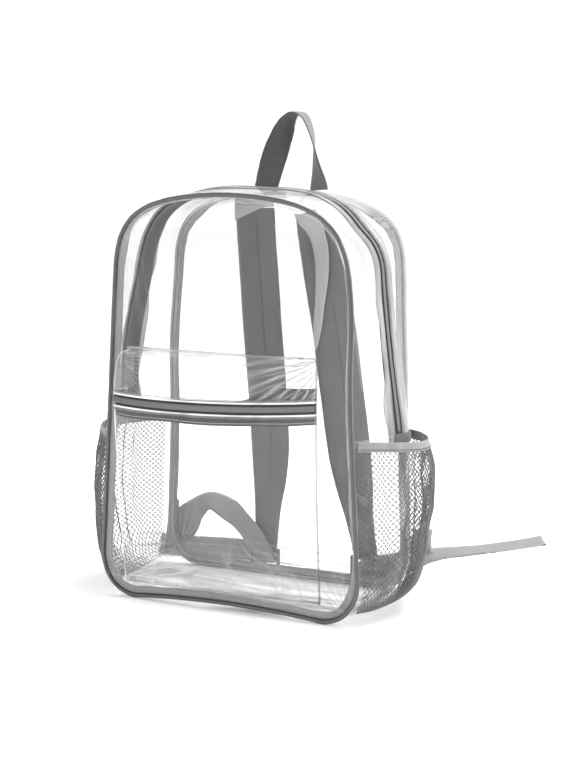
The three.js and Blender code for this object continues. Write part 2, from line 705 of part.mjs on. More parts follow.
// Low webbing: sewn into the back seam, round in a loop, between the bag and the strap to the buckle, through
// its low slot, and on as a loose tail. Beside is measured from the seam or the middle of the buckle, behind
// from the back seam or the near or far face of the buckle, up from the floor.
const leftWebbing = [
  { beside: ["seam", -1.6], behind: ["seam", 0.5], up: 47, wide: [0, 0, 1] },
  { beside: ["seam", -5], behind: ["seam", 0.8], up: 47, wide: [0, 0, 1] },
  { beside: ["seam", -9], behind: ["seam", 5], up: 48, wide: [0, 0, 1] },
  { beside: ["seam", -3], behind: ["seam", 9.5], up: 53, wide: [-0.3, 0, 1] },
  { beside: ["seam", 16], behind: ["seam", 10], up: 64, wide: [-0.5, 0, 1] },
  { beside: ["seam", 42], behind: ["seam", 10.5], up: 71, wide: [-0.1, 0, 1] },
  { beside: ["seam", 68], behind: ["seam", 10], up: 67, wide: [0.3, 0, 1] },
  { beside: ["buckle", -29], behind: ["near", -2.6], up: 56, wide: [0.6, 0, 1] },
  { beside: ["buckle", -12], behind: ["near", -3.4], up: 39, wide: [0.8, 0, 0.7] },
  { beside: ["buckle", -1], behind: ["near", -3.2], up: 23, wide: [1, 0, 0.1] },
  { beside: ["buckle", 0], behind: ["near", -1.6], up: 12.4, wide: [1, 0, 0] },
  { beside: ["buckle", 0], behind: ["far", 1], up: 11, wide: [1, 0, 0] },
  { beside: ["buckle", -1], behind: ["far", 8], up: 12.5, wide: [0.7, 0, 0.7] },
  { beside: ["buckle", -6], behind: ["far", 16], up: 13.6, wide: [0.15, 0, 1] },
  { beside: ["buckle", -20], behind: ["far", 20], up: 14.4, wide: [0, 0, 1] },
  { beside: ["buckle", -46], behind: ["far", 18], up: 15, wide: [0, 0, 1] },
  { beside: ["buckle", -82], behind: ["far", 13], up: 13.6, wide: [0, 0.2, 1] },
  { beside: ["buckle", -116], behind: ["far", 10], up: 13, wide: [0, 0.3, 1] },
  { beside: ["buckle", -142], behind: ["far", 9], up: 12.8, wide: [0, 0.4, 1] },
];
const rightWebbing = [
  { beside: ["seam", 1.6], behind: ["seam", 0.5], up: 58, wide: [0, 0, 1] },
  { beside: ["seam", 10], behind: ["seam", 1.5], up: 58, wide: [0, 0, 1] },
  { beside: ["seam", 19], behind: ["seam", 7], up: 58, wide: [0, 0, 1] },
  { beside: ["seam", 14], behind: ["seam", 13], up: 54, wide: [-0.2, 0, 1] },
  { beside: ["seam", 0], behind: ["seam", 13.5], up: 42, wide: [-0.6, 0, 0.9] },
  { beside: ["seam", -16], behind: ["seam", 12], up: 27, wide: [-0.6, 0, 0.9] },
  { beside: ["buckle", 30], behind: ["near", -11], up: 16.5, wide: [-0.3, 0, 1] },
  { beside: ["buckle", 12], behind: ["near", -12], up: 14, wide: [0, 0, 1] },
  { beside: ["buckle", 2], behind: ["near", -9], up: 13.5, wide: [0.4, 0, 1] },
  { beside: ["buckle", 0], behind: ["near", -4.5], up: 11.4, wide: [1, 0, 0.2] },
  { beside: ["buckle", 0], behind: ["near", -1.5], up: 11, wide: [1, 0, 0] },
  { beside: ["buckle", 0], behind: ["far", 0.6], up: 11, wide: [1, 0, 0] },
  { beside: ["buckle", 1], behind: ["far", 6], up: 12.5, wide: [0.7, 0, -0.7] },
  { beside: ["buckle", 8], behind: ["far", 11], up: 14, wide: [0.1, 0, -1] },
  { beside: ["buckle", 28], behind: ["far", 11], up: 18, wide: [0.3, -0.2, -1] },
  { beside: ["buckle", 50], behind: ["far", 12], up: 26, wide: [0.4, -0.6, -0.8] },
  { beside: ["buckle", 76], behind: ["far", 18], up: 34, wide: [0.1, -0.9, -0.4] },
  { beside: ["buckle", 112], behind: ["far", 22], up: 41, wide: [0, -1, -0.28] },
  { beside: ["buckle", 154], behind: ["far", 22], up: 51, wide: [0, -1, -0.28] },
  { beside: ["buckle", 194], behind: ["far", 22], up: 62, wide: [0, -1, -0.32] },
];
for (const { name, side, end, setback } of straps) {
  const rows = side < 0 ? leftWebbing : rightWebbing;
  const besideOf = { seam: (side * bottomWidth) / 2, buckle: end };
  const behindOf = { seam: 0, near: setback - buckleThickness / 2, far: setback + buckleThickness / 2 };
  const route = rows.map(({ beside, behind, up, wide }) => ({
    at: vector(besideOf[beside[0]] + beside[1], backSeam + behindOf[behind[0]] + behind[1], up),
    wide: vector(...wide),
    width: webbingWidth,
  }));
  const geometry = ribbon(route, webbingThickness, flatSection, 2, side > 0 ? tailSlant : 0);
  piece(`lower_webbing_${name}`, geometry, "webbing");
}

export default bag;
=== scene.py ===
# %% [markdown]
# # Clear stadium backpack
# The bag is cut from clear vinyl film and sewn with grey trim. This lesson dresses the measured model of the
# bag: every piece of film, tape, net and webbing gets its true drape, weave, folds and stitches.

# %% Load the frame
import math

import bmesh
import bpy
from mathutils import Matrix, Vector, noise


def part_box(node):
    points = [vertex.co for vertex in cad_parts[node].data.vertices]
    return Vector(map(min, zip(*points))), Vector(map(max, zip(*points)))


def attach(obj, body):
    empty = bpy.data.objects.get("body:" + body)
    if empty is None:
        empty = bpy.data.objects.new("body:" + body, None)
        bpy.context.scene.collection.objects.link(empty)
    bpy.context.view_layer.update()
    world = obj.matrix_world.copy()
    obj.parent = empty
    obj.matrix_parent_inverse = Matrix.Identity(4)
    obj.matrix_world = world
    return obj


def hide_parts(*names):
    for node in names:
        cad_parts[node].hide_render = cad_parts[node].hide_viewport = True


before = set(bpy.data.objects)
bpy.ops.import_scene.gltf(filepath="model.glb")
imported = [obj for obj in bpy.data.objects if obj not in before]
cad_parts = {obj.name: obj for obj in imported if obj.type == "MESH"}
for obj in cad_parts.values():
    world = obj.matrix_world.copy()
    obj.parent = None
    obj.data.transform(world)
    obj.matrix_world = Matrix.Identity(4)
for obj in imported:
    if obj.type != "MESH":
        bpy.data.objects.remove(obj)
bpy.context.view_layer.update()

MM = 0.001

# %% [markdown]
# ## Camera, floor and light
# The bag stands on a white floor and is seen from its right, a little above. A white world lights it from all
# round, so the film nearly vanishes, and a large lamp above and behind it brightens what faces up.

# %% Camera
azimuth, elevation, roll = (math.radians(angle) for angle in (24.8, 8.8, 0.4))
target = Vector((0.0356, 0.0, 0.2296))
distance = 1.672
lens_to_height = 1600 / 768

towards = Vector((
    math.sin(azimuth) * math.cos(elevation),
    -math.cos(azimuth) * math.cos(elevation),
    math.sin(elevation),
))
camera_data = bpy.data.cameras.new("camera")
camera_data.sensor_fit = "VERTICAL"
camera_data.sensor_height = 24
camera_data.lens = camera_data.sensor_height * lens_to_height
camera = bpy.data.objects.new("camera", camera_data)
bpy.context.scene.collection.objects.link(camera)
camera.location = target + distance * towards
camera.rotation_mode = "QUATERNION"
camera.rotation_quaternion = towards.to_track_quat("Z", "Y") @ Matrix.Rotation(roll, 4, "Z").to_quaternion()
bpy.context.scene.camera = camera
print("camera at", [round(c, 3) for c in camera.location])

# %% [markdown]
# ## Floor, world and lamps
# The floor is one large square. Area lamps give soft edges to what little shade the film throws.

# %% Floor, world and lamps
def lamp(name, place, size, power):
    data = bpy.data.lights.new(name, "AREA")
    data.size = size
    data.energy = power
    light = bpy.data.objects.new(name, data)
    bpy.context.scene.collection.objects.link(light)
    light.location = place
    light.rotation_euler = (Vector(place) - target).to_track_quat("Z", "Y").to_euler()
    print(name, power, "watts")


lamp("top_lamp", (0.5, 0.7, 1.9), 1.4, 42)
lamp("side_lamp", (1.8, -0.4, 0.9), 1.0, 16)

world = bpy.data.worlds.new("white_room")
world.use_nodes = True
world.node_tree.nodes["Background"].inputs["Color"].default_value = (1, 1, 1, 1)
world.node_tree.nodes["Background"].inputs["Strength"].default_value = 1.1
bpy.context.scene.world = world
bpy.context.scene.view_settings.view_transform = "Standard"
bpy.context.scene.cycles.transparent_max_bounces = 40

floor_mesh = bpy.data.meshes.new("floor")
floor_form = bmesh.new()
bmesh.ops.create_grid(floor_form, x_segments=1, y_segments=1, size=6)
floor_form.to_mesh(floor_mesh)
floor_form.free()
floor = bpy.data.objects.new("floor", floor_mesh)
bpy.context.scene.collection.objects.link(floor)

# %% [markdown]
# ## Materials
# Film, woven trim, webbing, net yarn and moulded plastic each get one material, built by a short function.
# The weaves follow each piece's own UV map, which holds millimetres along and across the cloth, so that the
# threads bend with the piece and keep their size.

# %% Node helpers
class Nodes:
    """A material's node tree with short ways to add to it."""

    def __init__(self, name):
        self.material = bpy.data.materials.new(name)
        self.material.use_nodes = True
        self.tree = self.material.node_tree
        self.tree.nodes.clear()
        self.output = self.tree.nodes.new("ShaderNodeOutputMaterial")

    def add(self, kind, links=None, **settings):
        node = self.tree.nodes.new("ShaderNode" + kind)
        for key, value in settings.items():
            setattr(node, key, value)
        for socket, value in (links or {}).items():
            if isinstance(value, bpy.types.NodeSocket):
                self.tree.links.new(value, node.inputs[socket])
            else:
                node.inputs[socket].default_value = value
        return node

    def math(self, operation, a, b=0.0, clamp=False):
        return self.add("Math", {0: a, 1: b}, operation=operation, use_clamp=clamp).outputs[0]

    def cloth(self, along, across):
        """The cloth's own millimetres, as a vector scaled along and across."""
        uv = self.add("UVMap", uv_map="cloth").outputs["UV"]
        return self.add("Mapping", {"Vector": uv, "Scale": (across, along, 1)}).outputs["Vector"]

    def place(self, scale=(1, 1, 1)):
        spot = self.add("TexCoord").outputs["Object"]
        return self.add("Mapping", {"Vector": spot, "Scale": scale}).outputs["Vector"]

    def noise(self, spot, scale, detail=2.0, distortion=0.0):
        links = {"Vector": spot, "Scale": scale, "Detail": detail, "Distortion": distortion}
        return self.add("TexNoise", links).outputs["Fac"]

    def times(self, a, b):
        return self.math("MULTIPLY", a, b)

    def plus(self, a, b):
        return self.math("ADD", a, b)

    def hump(self, value, middle, half):
        """1 where value is at the middle, falling to 0 half away from it."""
        off = self.math("ABSOLUTE", self.math("SUBTRACT", value, middle))
        return self.math("SUBTRACT", 1.0, self.math("DIVIDE", off, half), clamp=True)

    def across(self):
        uv = self.add("UVMap", uv_map="cloth").outputs["UV"]
        return self.add("SeparateXYZ", {"Vector": uv}).outputs["Y"]

    def stripes(self, tone, lines):
        """Lines along the cloth: each is (millimetres across, half width, how much is added to the tone)."""
        across = self.across()
        for middle, half, gain in lines:
            tone = self.plus(tone, self.times(self.hump(across, middle, half), gain))
        return tone

    def tinted(self, level, tone):
        """The grey of that level, scaled by the tone."""
        scaled = self.add("VectorMath", {0: grey(level)}, operation="SCALE")
        self.tree.links.new(tone, scaled.inputs["Scale"])
        return scaled.outputs["Vector"]

    def finish(self, shader):
        self.tree.links.new(shader, self.output.inputs["Surface"])
        return self.material


def grey(level):
    """A grey in linear light from its level on screen, 0 to 255."""
    value = level / 255
    linear = value / 12.92 if value <= 0.04045 else ((value + 0.055) / 1.055) ** 2.4
    return (linear, linear, linear)


# %% [markdown]
# ## Film
# Clear vinyl hardly shows face on. What one sees of it is its grey gleam where it turns away, a faint haze,
# and white lines at its creases. A glass shader would be slow through eight layers, so a transparent
# shader is mixed with a glossy one, by the facing angle and by noise bands drawn for the creases; the bands'
# light and dark greys are painted reflections of the folds.

# %% Film
def film(name, haze, rim=0.75, shade=168, crease=1.0, streak=0.3, slump=0.0, fans=(), gloss=0.9):
    """Clear vinyl: a veil of haze, a grey gleam where it turns away, and creases: real relief in the bump,
    with painted reflections in their light and dark greys.

    slump is the strength of level folds near the floor. Each fan is creases that run out from a point, as
    (x, z, number of rays, where they start, where they end, strength), in metres.
    """
    n = Nodes(name)
    spot = n.place()
    soft = n.noise(spot, 9.0, 3.0)
    long_creases = n.noise(n.place((1, 1, 0.28)), 15.0, 1.5, 0.6)
    where = n.times(n.math("SUBTRACT", n.noise(spot, 6.0, 1.0), 0.56), 9.0)
    where = n.math("MINIMUM", n.math("MAXIMUM", where, 0.0), 1.0)
    # Crease lines: the film turns opaque along them, and their grey is a painted reflection of the fold.
    lines = n.times(n.times(n.hump(long_creases, 0.5, 0.014), where), streak)
    lines = n.plus(lines, n.times(n.times(n.hump(long_creases, 0.57, 0.03), where), streak * 0.6))
    split = n.add("SeparateXYZ", {"Vector": spot})
    x, z = split.outputs["X"], split.outputs["Z"]
    if slump:
        waver = n.times(n.noise(n.place((0.22, 0.5, 0.6)), 14.0, 1.0), 24.0)
        level = n.math("SINE", n.plus(n.times(z, 620.0), waver))
        level = n.math("POWER", n.math("MAXIMUM", level, 0.0), 3.0)
        fine = n.math("SINE", n.plus(n.times(z, 1900.0), n.times(waver, 2.1)))
        level = n.plus(n.times(level, 0.7), n.times(n.math("POWER", n.math("MAXIMUM", fine, 0.0), 6.0), 0.6))
        broken = n.times(n.math("SUBTRACT", n.noise(n.place((0.3, 1, 1.6)), 26.0, 2.0), 0.36), 4.0)
        broken = n.math("MINIMUM", n.math("MAXIMUM", broken, 0.0), 1.0)
        low = n.math("POWER", n.hump(z, 0.016, 0.03), 0.6)
        lines = n.plus(lines, n.times(n.times(n.times(level, broken), low), slump))
    for centre_x, centre_z, rays, near, far, strength in fans:
        dx, dz = n.math("SUBTRACT", x, centre_x), n.math("SUBTRACT", z, centre_z)
        away = n.math("SQRT", n.plus(n.times(dx, dx), n.times(dz, dz)))
        turn = n.plus(n.times(n.math("ARCTAN2", dz, dx), rays), n.times(soft, 14.0))
        ray = n.math("POWER", n.math("MAXIMUM", n.math("SINE", turn), 0.0), 2.0)
        ray = n.times(ray, n.noise(n.place((1.2, 1, 1.2)), 18.0, 1.0))
        reach = n.math("SUBTRACT", 1.0, n.math("DIVIDE", away, far), clamp=True)
        start = n.math("DIVIDE", away, near, clamp=True)
        lines = n.plus(lines, n.times(n.times(ray, strength), n.times(reach, start)))
    relief = n.plus(n.plus(soft, n.times(long_creases, 0.3)), n.times(lines, 0.12))
    bump = n.add("Bump", {"Height": relief, "Strength": 0.45 * crease, "Distance": 0.012}).outputs["Normal"]
    turned = n.add("LayerWeight", {"Blend": 0.5, "Normal": bump}).outputs["Facing"]
    edge = n.times(n.math("POWER", turned, 5.0), rim)
    cloud = n.times(n.plus(soft, 0.5), haze)
    cover = n.math("ADD", n.plus(edge, cloud), lines, clamp=True)
    # Random light and dark greys of the body, which show along the crease lines as painted reflections.
    tone = n.plus(n.times(n.noise(n.place((1, 1, 0.4)), 30.0, 2.0, 0.5), 1.5), 0.25)
    clear = n.add("BsdfTransparent", {"Color": (0.997, 0.997, 0.997, 1)}).outputs[0]
    body = n.add("BsdfPrincipled", {
        "Base Color": n.tinted(shade, tone),
        "Roughness": 0.12,
        "Specular IOR Level": gloss,
        "Coat Weight": gloss * 0.7,
        "Coat Roughness": 0.04,
        "Normal": bump,
    }).outputs[0]
    mixed = n.add("MixShader", {0: cover, 1: clear, 2: body}).outputs[0]
    return n.finish(mixed)


# %% [markdown]
# ## Piping cover
# The piping's cover is coated cloth. Its shader paints light and dark reflection streaks along it, at fixed
# places round the tube, by adding stripes across the UV map.

# %% Piping cover
def piping_finish(name, level, lines, clear_top=0.0):
    """A glossy cover with painted reflection streaks along it, of which the part over the top of the bag may
    be clearer.
    """
    n = Nodes(name)
    spot = n.place()
    # Painted reflection streaks, light and dark, at fixed angles round the tube.
    tone = n.stripes(n.plus(n.times(n.noise(spot, 40.0, 3.0), 0.4), 0.8), lines)
    bump = n.add("Bump", {"Height": n.noise(spot, 160.0, 2.0), "Strength": 0.3, "Distance": 0.001})
    body = n.add("BsdfPrincipled", {
        "Base Color": n.tinted(level, n.math("MAXIMUM", tone, 0.05)),
        "Roughness": 0.36,
        "Coat Weight": 0.5,
        "Coat Roughness": 0.12,
        "Normal": bump.outputs["Normal"],
    }).outputs[0]
    if not clear_top:
        return n.finish(body)
    z = n.add("SeparateXYZ", {"Vector": spot}).outputs["Z"]
    gone = n.times(n.math("DIVIDE", n.math("SUBTRACT", z, 0.375), 0.04, clamp=True), clear_top)
    clear = n.add("BsdfTransparent").outputs[0]
    return n.finish(n.add("MixShader", {0: gone, 1: body, 2: clear}).outputs[0])


# %% [markdown]
# ## Woven cloth
# Tape, binding, webbing and straps differ in the pitch of their ribs and in their grey. One function makes
# them all from two wave patterns and a little noise, and bump gives the threads their height.

# %% Woven cloth
def woven(
    name, level, rib=1.0, pick=0.7, depth=0.35, contrast=0.16, mottle=0.12, lines=(), half=0.0, shaded_face_gain=1.0,
):
    """Woven cloth: ribs along it and picks across it, in millimetres, with lighter and darker threads.

    lines are stripes along it. Where a ribbon's second face starts, half millimetres across, painted shade
    scales its grey by the last argument, and painted light makes it paler towards the right.
    """
    n = Nodes(name)
    rib_links = {"Vector": n.cloth(0, 1 / rib), "Scale": 1 / 2}
    pick_links = {"Vector": n.cloth(1 / pick, 0), "Scale": 1 / 2}
    ribs = n.add("TexWave", rib_links, bands_direction="Y").outputs["Fac"]
    picks = n.add("TexWave", pick_links).outputs["Fac"]
    threads = n.plus(n.times(ribs, 0.6), n.times(picks, 0.4))
    patch = n.noise(n.place(), 34.0, 4.0)
    fuzz = n.noise(n.place(), 900.0, 2.0)
    bands = n.noise(n.cloth(0.16, 0.012), 1.0, 3.0)
    tone = n.plus(n.times(threads, contrast), n.times(patch, mottle))
    tone = n.plus(tone, n.plus(n.times(fuzz, 0.12), n.times(bands, mottle)))
    tone = n.plus(tone, 1 - (contrast + 2 * mottle + 0.12) / 2)
    tone = n.stripes(tone, lines)
    # Painted shade on the ribbon's second face, with painted light that grows towards the right.
    if half:
        behind = n.math("GREATER_THAN", n.across(), half)
        split = n.add("SeparateXYZ", {"Vector": n.place()})
        painted_light_to_right = n.math("MULTIPLY", n.math("SUBTRACT", split.outputs["X"], 0.006), 45.0, clamp=True)
        behind = n.times(behind, n.plus(shaded_face_gain - 1.0, n.times(painted_light_to_right, 0.4)))
        tone = n.times(tone, n.plus(1.0, behind))
    height = n.plus(threads, n.times(fuzz, 0.5))
    bump = n.add("Bump", {"Height": height, "Strength": depth, "Distance": 0.0006}).outputs["Normal"]
    cloth = n.add("BsdfPrincipled", {
        "Base Color": n.tinted(level, n.math("MAXIMUM", tone, 0.05)),
        "Roughness": 0.82,
        "Sheen Weight": 0.2,
        "Sheen Roughness": 0.5,
        "Specular IOR Level": 0.25,
        "Normal": bump,
    }).outputs[0]
    return n.finish(cloth)


# %% [markdown]
# ## Plastic, metal and thread
# Moulded and metal pieces have a fine grain and a little wear. All of the finishes are then made, in one
# dictionary that the pieces pick from.

# %% Plastic, metal and yarn
def solid_finish(name, level, rough, metal=0.0, grain=220.0, depth=0.12):
    n = Nodes(name)
    grains = n.noise(n.place(), grain, 3.0)
    wear = n.noise(n.place(), 30.0, 4.0)
    bump = n.add("Bump", {"Height": grains, "Strength": depth, "Distance": 0.0008}).outputs["Normal"]
    body = n.add("BsdfPrincipled", {
        "Base Color": n.tinted(level, n.plus(n.times(wear, 0.2), 0.9)),
        "Roughness": n.plus(n.times(wear, 0.2), rough - 0.1),
        "Metallic": metal,
        "Normal": bump,
    }).outputs[0]
    return n.finish(body)


def floor_finish(name):
    n = Nodes(name)
    rough = n.plus(n.times(n.noise(n.place(), 3.0), 0.1), 0.75)
    body = n.add("BsdfPrincipled", {
        "Base Color": (0.93, 0.93, 0.93, 1), "Roughness": rough, "Specular IOR Level": 0.1
    }).outputs[0]
    return n.finish(body)


mouth_fans = (
    (0.118, 0.272, 41.0, 0.03, 0.13, 1.1),
    (0.128, 0.268, 77.0, 0.03, 0.14, 0.7),
    (-0.104, 0.262, 48.0, 0.01, 0.055, 0.8),
)
foot_fans = ((-0.106, 0.03, 44.0, 0.01, 0.07, 0.8),)
corner_fans = (
    (-0.135, 0.012, 34.0, 0.01, 0.08, 0.6),
    (0.135, 0.012, 26.0, 0.01, 0.06, 0.5),
)
finish = {
    "film": film("clear_film", haze=0.012, streak=0.14, slump=0.85, fans=corner_fans),
    "pocket_film": film("pocket_film", haze=0.05, crease=1.2, slump=0.3, streak=0.3, fans=foot_fans),
    "mouth_film": film("pocket_mouth_film", haze=0.06, crease=1.4, streak=0.5, fans=mouth_fans),
    "side_film": film("side_film", haze=0.012, crease=1.1, slump=0.8, streak=0.35),
    "hem_film": film("hem_film", haze=0.16, rim=0.9, shade=205, streak=0.4),
    "cover_film": film("cover_film", haze=0.66, rim=0.4, shade=158, crease=0.6, streak=0.4, gloss=0.2),
    "edge_film": film("film_edge", haze=0.8, rim=0.3, shade=238, crease=0.4, streak=0.0),
    # Both piping covers carry painted reflection streaks round the tube.
    "cord": piping_finish("front_piping_cover_painted_streaks", 74, ((8.4, 1.6, -0.7), (12.0, 1.1, -0.7), (10.2, 0.9, 0.5))),
    "pale_cord": piping_finish(
        "back_piping_cover_painted_streaks", 168, ((8.6, 1.2, -0.5), (5.2, 1.2, -0.5)), clear_top=0.75,
    ),
    "binding": woven(
        "binding_cloth", 158, rib=0.9, pick=0.7, depth=0.3, lines=((0.4, 0.6, -0.4), (7.8, 0.6, -0.3)),
    ),
    "hem": woven("net_hem_cloth", 138, rib=0.9, pick=0.7, depth=0.35, mottle=0.16),
    "dark_binding": woven("zip_end_cloth", 84, rib=0.9, pick=0.7, depth=0.35, mottle=0.25),
    # Four of the tape's dark lines are painted shadows: two under the film edges and two beside the coil.
    "tape": woven(
        "zip_tape_cloth", 80, rib=0.8, pick=0.5, depth=0.3, mottle=0.14,
        lines=((13.6, 0.9, -0.5), (20.4, 0.9, -0.5), (10.0, 0.8, -0.5), (24.5, 0.8, -0.5), (17.0, 1.6, -0.3)),
    ),
    # The grab loop's webbing: its second face carries painted shade, paler towards the right as painted
    # light.
    "webbing": woven(
        "webbing_cloth", 112, rib=1.5, pick=1.0, depth=0.8, contrast=0.3, half=27, shaded_face_gain=0.54,
        lines=((1.4, 0.5, -0.2), (25.6, 0.5, -0.2), (28.4, 0.5, -0.2), (52.6, 0.5, -0.2)),
    ),
    "low_webbing": woven("low_webbing_cloth", 160, rib=1.5, pick=1.0, depth=0.8, contrast=0.25, mottle=0.16),
    "tail": woven("webbing_tail_cloth", 148, rib=1.5, pick=1.0, depth=0.8, contrast=0.3, mottle=0.16),
    "strap": woven(
        "strap_cloth", 116, rib=0.6, pick=0.6, depth=0.3, contrast=0.1, mottle=0.26,
        lines=((2.0, 0.7, -0.12), (45.0, 0.7, -0.12), (23.5, 1.2, -0.1)),
    ),
    # Pale cloth of the left strap's patch, also used for the painted crescent highlight on the right strap.
    "pale_strap": woven("strap_patch_and_painted_highlight", 182, rib=0.6, pick=0.6, depth=0.25, contrast=0.08, mottle=0.18),
    "net": woven("net_yarn", 104, rib=0.4, pick=0.4, depth=0.3),
    "coil": solid_finish("zip_coil_nylon", 104, 0.42),
    "metal": solid_finish("slider_metal", 120, 0.34, metal=0.9),
    "plastic": solid_finish("buckle_plastic_grain", 118, 0.42, grain=500.0),
    "thread": solid_finish("sewing_thread", 84, 0.8, grain=1500.0, depth=0.4),
    "pale_thread": solid_finish("pale_thread", 205, 0.7, grain=1500.0, depth=0.4),
}
floor.data.materials.append(floor_finish("floor_paper"))
print("finishes", ", ".join(finish))

# %% [markdown]
# ## Bent sheets
# Nearly every piece of a bag is a flat sheet that was bent. So a piece starts as Blender's own grid, each of
# its vertices is carried to its place by a short rule, and a Solidify modifier gives it its real thickness.
# The flat grid's size in millimetres goes into the UV map that the weaves read.

# %% Sheets, tubes and strips
def new_piece(name, form, kind, replaces=(), thickness=0.0, rounded=True):
    """An object from the bmesh, with its finish, its wall and the node that it replaces."""
    mesh = bpy.data.meshes.new(name)
    form.to_mesh(mesh)
    form.free()
    if rounded:
        mesh.shade_smooth()
    piece = bpy.data.objects.new(name, mesh)
    bpy.context.scene.collection.objects.link(piece)
    mesh.materials.append(finish[kind])
    if thickness:
        wall = piece.modifiers.new("wall", "SOLIDIFY")
        wall.thickness = thickness * MM
        wall.offset = 0
    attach(piece, "root")
    if replaces:
        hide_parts(*replaces)
    area = sum(face.area for face in mesh.polygons)
    print(f"{name}: {len(mesh.polygons)} faces, {area:.4f} square metres")
    return piece


def bent_grid(across, along, place, flat=(1.0, 1.0), joined=False):
    """A grid whose vertex at shares u and v goes to place(u, v), in millimetres."""
    form = bmesh.new()
    bmesh.ops.create_grid(form, x_segments=across, y_segments=along, size=0.5)
    cloth = form.loops.layers.uv.new("cloth")
    for face in form.faces:
        for loop in face.loops:
            spot = loop.vert.co
            loop[cloth].uv = ((spot.x + 0.5) * flat[0], (spot.y + 0.5) * flat[1])
    for vert in form.verts:
        vert.co = Vector(place(vert.co.x + 0.5, vert.co.y + 0.5)) * MM
    if joined:
        bmesh.ops.remove_doubles(form, verts=form.verts, dist=0.00002)
        bmesh.ops.recalc_face_normals(form, faces=form.faces)
    return form


def mix(a, b, share):
    return a + (b - a) * share


def clamp(value, low=0.0, high=1.0):
    return max(low, min(high, value))


def smooth(low, high, value):
    share = clamp((value - low) / (high - low))
    return share * share * (3 - 2 * share)


def ripple(x, y, z, size):
    """Soft noise from -1 to 1 with waves of about that size, in millimetres."""
    return noise.noise(Vector((x, y, z)) / size)


def through(values, at):
    """A smooth curve through the values, which stand at 0, 1, 2 and so on."""
    low = int(clamp(math.floor(at), 0, len(values) - 2))
    t = at - low
    before = values[max(low - 1, 0)]
    a, b = values[low], values[low + 1]
    after = values[min(low + 2, len(values) - 1)]
    slope_a, slope_b = (b - before) / 2, (after - a) / 2
    return (
        a * (2 * t**3 - 3 * t**2 + 1)
        + slope_a * (t**3 - 2 * t**2 + t)
        + b * (3 * t**2 - 2 * t**3)
        + slope_b * (t**3 - t**2)
    )


# %% [markdown]
# ## The seam outline
# Both panels have the same outline: flat bottom, round low corners, sides that lean in, an arch and a nearly
# flat crown. A station runs up the right side from 0 in the middle of the bottom to 24 in the middle of the
# top, and down to -24 on the left side. Sizes come from the frame's boxes where it has them.

# %% Seam outline
piping = 5.0
front_low, front_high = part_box("front_piping")
back_low, back_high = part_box("back_piping")
bag_height = front_high.z / MM
bottom_width = (front_high.x - front_low.x) / MM
bag_depth = (back_high.y - front_low.y) / MM - piping * math.cos(math.radians(30))
front_top_width = 262.0
back_top_width = 276.0
corner_width, corner_height, corner_fullness = 42.0, 46.0, 0.58
arch_start, arch_flat, arch_drop, arch_fullness = 350.0, 120.0, 5.0, 0.72
bottom_rise = 5.0
joint_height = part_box("upper_gusset_front")[0].z / MM
bows = {(front_top_width, 1): (6.0, 322.0, 62.0), (back_top_width, -1): (4.0, 258.0, 60.0)}
TOP = 24.0
CORNER, SIDE, ARCH, CROWN = 4.0, 8.0, 16.0, 21.0


def bezier(a, b, c, d, t):
    s = 1 - t
    return a * s**3 + 3 * b * s * s * t + 3 * c * s * t * t + d * t**3


def wrapped(station):
    """The same station, from -24 to 24."""
    return (station + TOP) % (2 * TOP) - TOP


def outline(station, top_width):
    """A point of the seam, as (x, z)."""
    station = wrapped(station)
    side = -1 if station < 0 else 1
    s = abs(station)
    half = bottom_width / 2
    foot = Vector((half - corner_width, 0))
    peak = Vector((half, 0))
    corner_end = Vector((half, corner_height))
    arch_foot = Vector((top_width / 2, arch_start))
    flat_end = Vector((arch_flat / 2, bag_height - arch_drop))
    arch_top = flat_end.y - 4 * arch_drop / arch_flat * (arch_foot.x - flat_end.x)
    arch_peak = corner_end.lerp(arch_foot, (arch_top - corner_height) / (arch_start - corner_height))
    if s <= CORNER:
        at = foot * (s / CORNER)
    elif s <= SIDE:
        at = bezier(
            foot, foot.lerp(peak, corner_fullness), corner_end.lerp(peak, corner_fullness), corner_end,
            (s - CORNER) / (SIDE - CORNER),
        )
    elif s <= ARCH:
        at = corner_end.lerp(arch_foot, (s - SIDE) / (ARCH - SIDE))
    elif s <= CROWN:
        at = bezier(
            arch_foot, arch_foot.lerp(arch_peak, arch_fullness), flat_end.lerp(arch_peak, arch_fullness),
            flat_end, (s - ARCH) / (CROWN - ARCH),
        )
    else:
        x = flat_end.x * (TOP - s) / (TOP - CROWN)
        at = Vector((x, bag_height - arch_drop * (x / flat_end.x) ** 2))
    bow, middle, spread = bows.get((top_width, side), (0.0, 0.0, 1.0))
    return Vector(((at.x + bow * math.exp(-(((at.y - middle) / spread) ** 2))) * side, at.y))


def outward(station):
    """The direction out of the bag at a station, as (x, z)."""
    step = 0.25
    along = Vector((0, 0))
    for width in (front_top_width, back_top_width):
        along += outline(station + step, width) - outline(station - step, width)
    return Vector((along.y, -along.x)).normalized()


def rise(station):
    """How far the front seam stands off the floor in the middle of the bottom."""
    share = abs(wrapped(station)) / CORNER
    return bottom_rise * (1 - share * share) if share < 1 else 0.0


def seam(side, station, inset, y):
    """A point of the front seam (side -1) or the back seam (side 1), moved in from it by inset."""
    at = outline(station, front_top_width if side < 0 else back_top_width)
    out = outward(station)
    lift = rise(station) if side < 0 else 0.0
    return Vector((at.x - out.x * inset, y, at.y - out.y * inset + lift))


def station_at(height):
    """The station of the right side at a height above the low corner."""
    if height >= corner_height:
        return SIDE + (ARCH - SIDE) * (height - corner_height) / (arch_start - corner_height)
    low, high = CORNER, SIDE
    for _ in range(20):
        middle = (low + high) / 2
        if outline(middle, front_top_width).y < height:
            low = middle
        else:
            high = middle
    return (low + high) / 2


print("bag", round(bottom_width), "wide,", round(bag_depth), "deep,", round(bag_height), "tall")

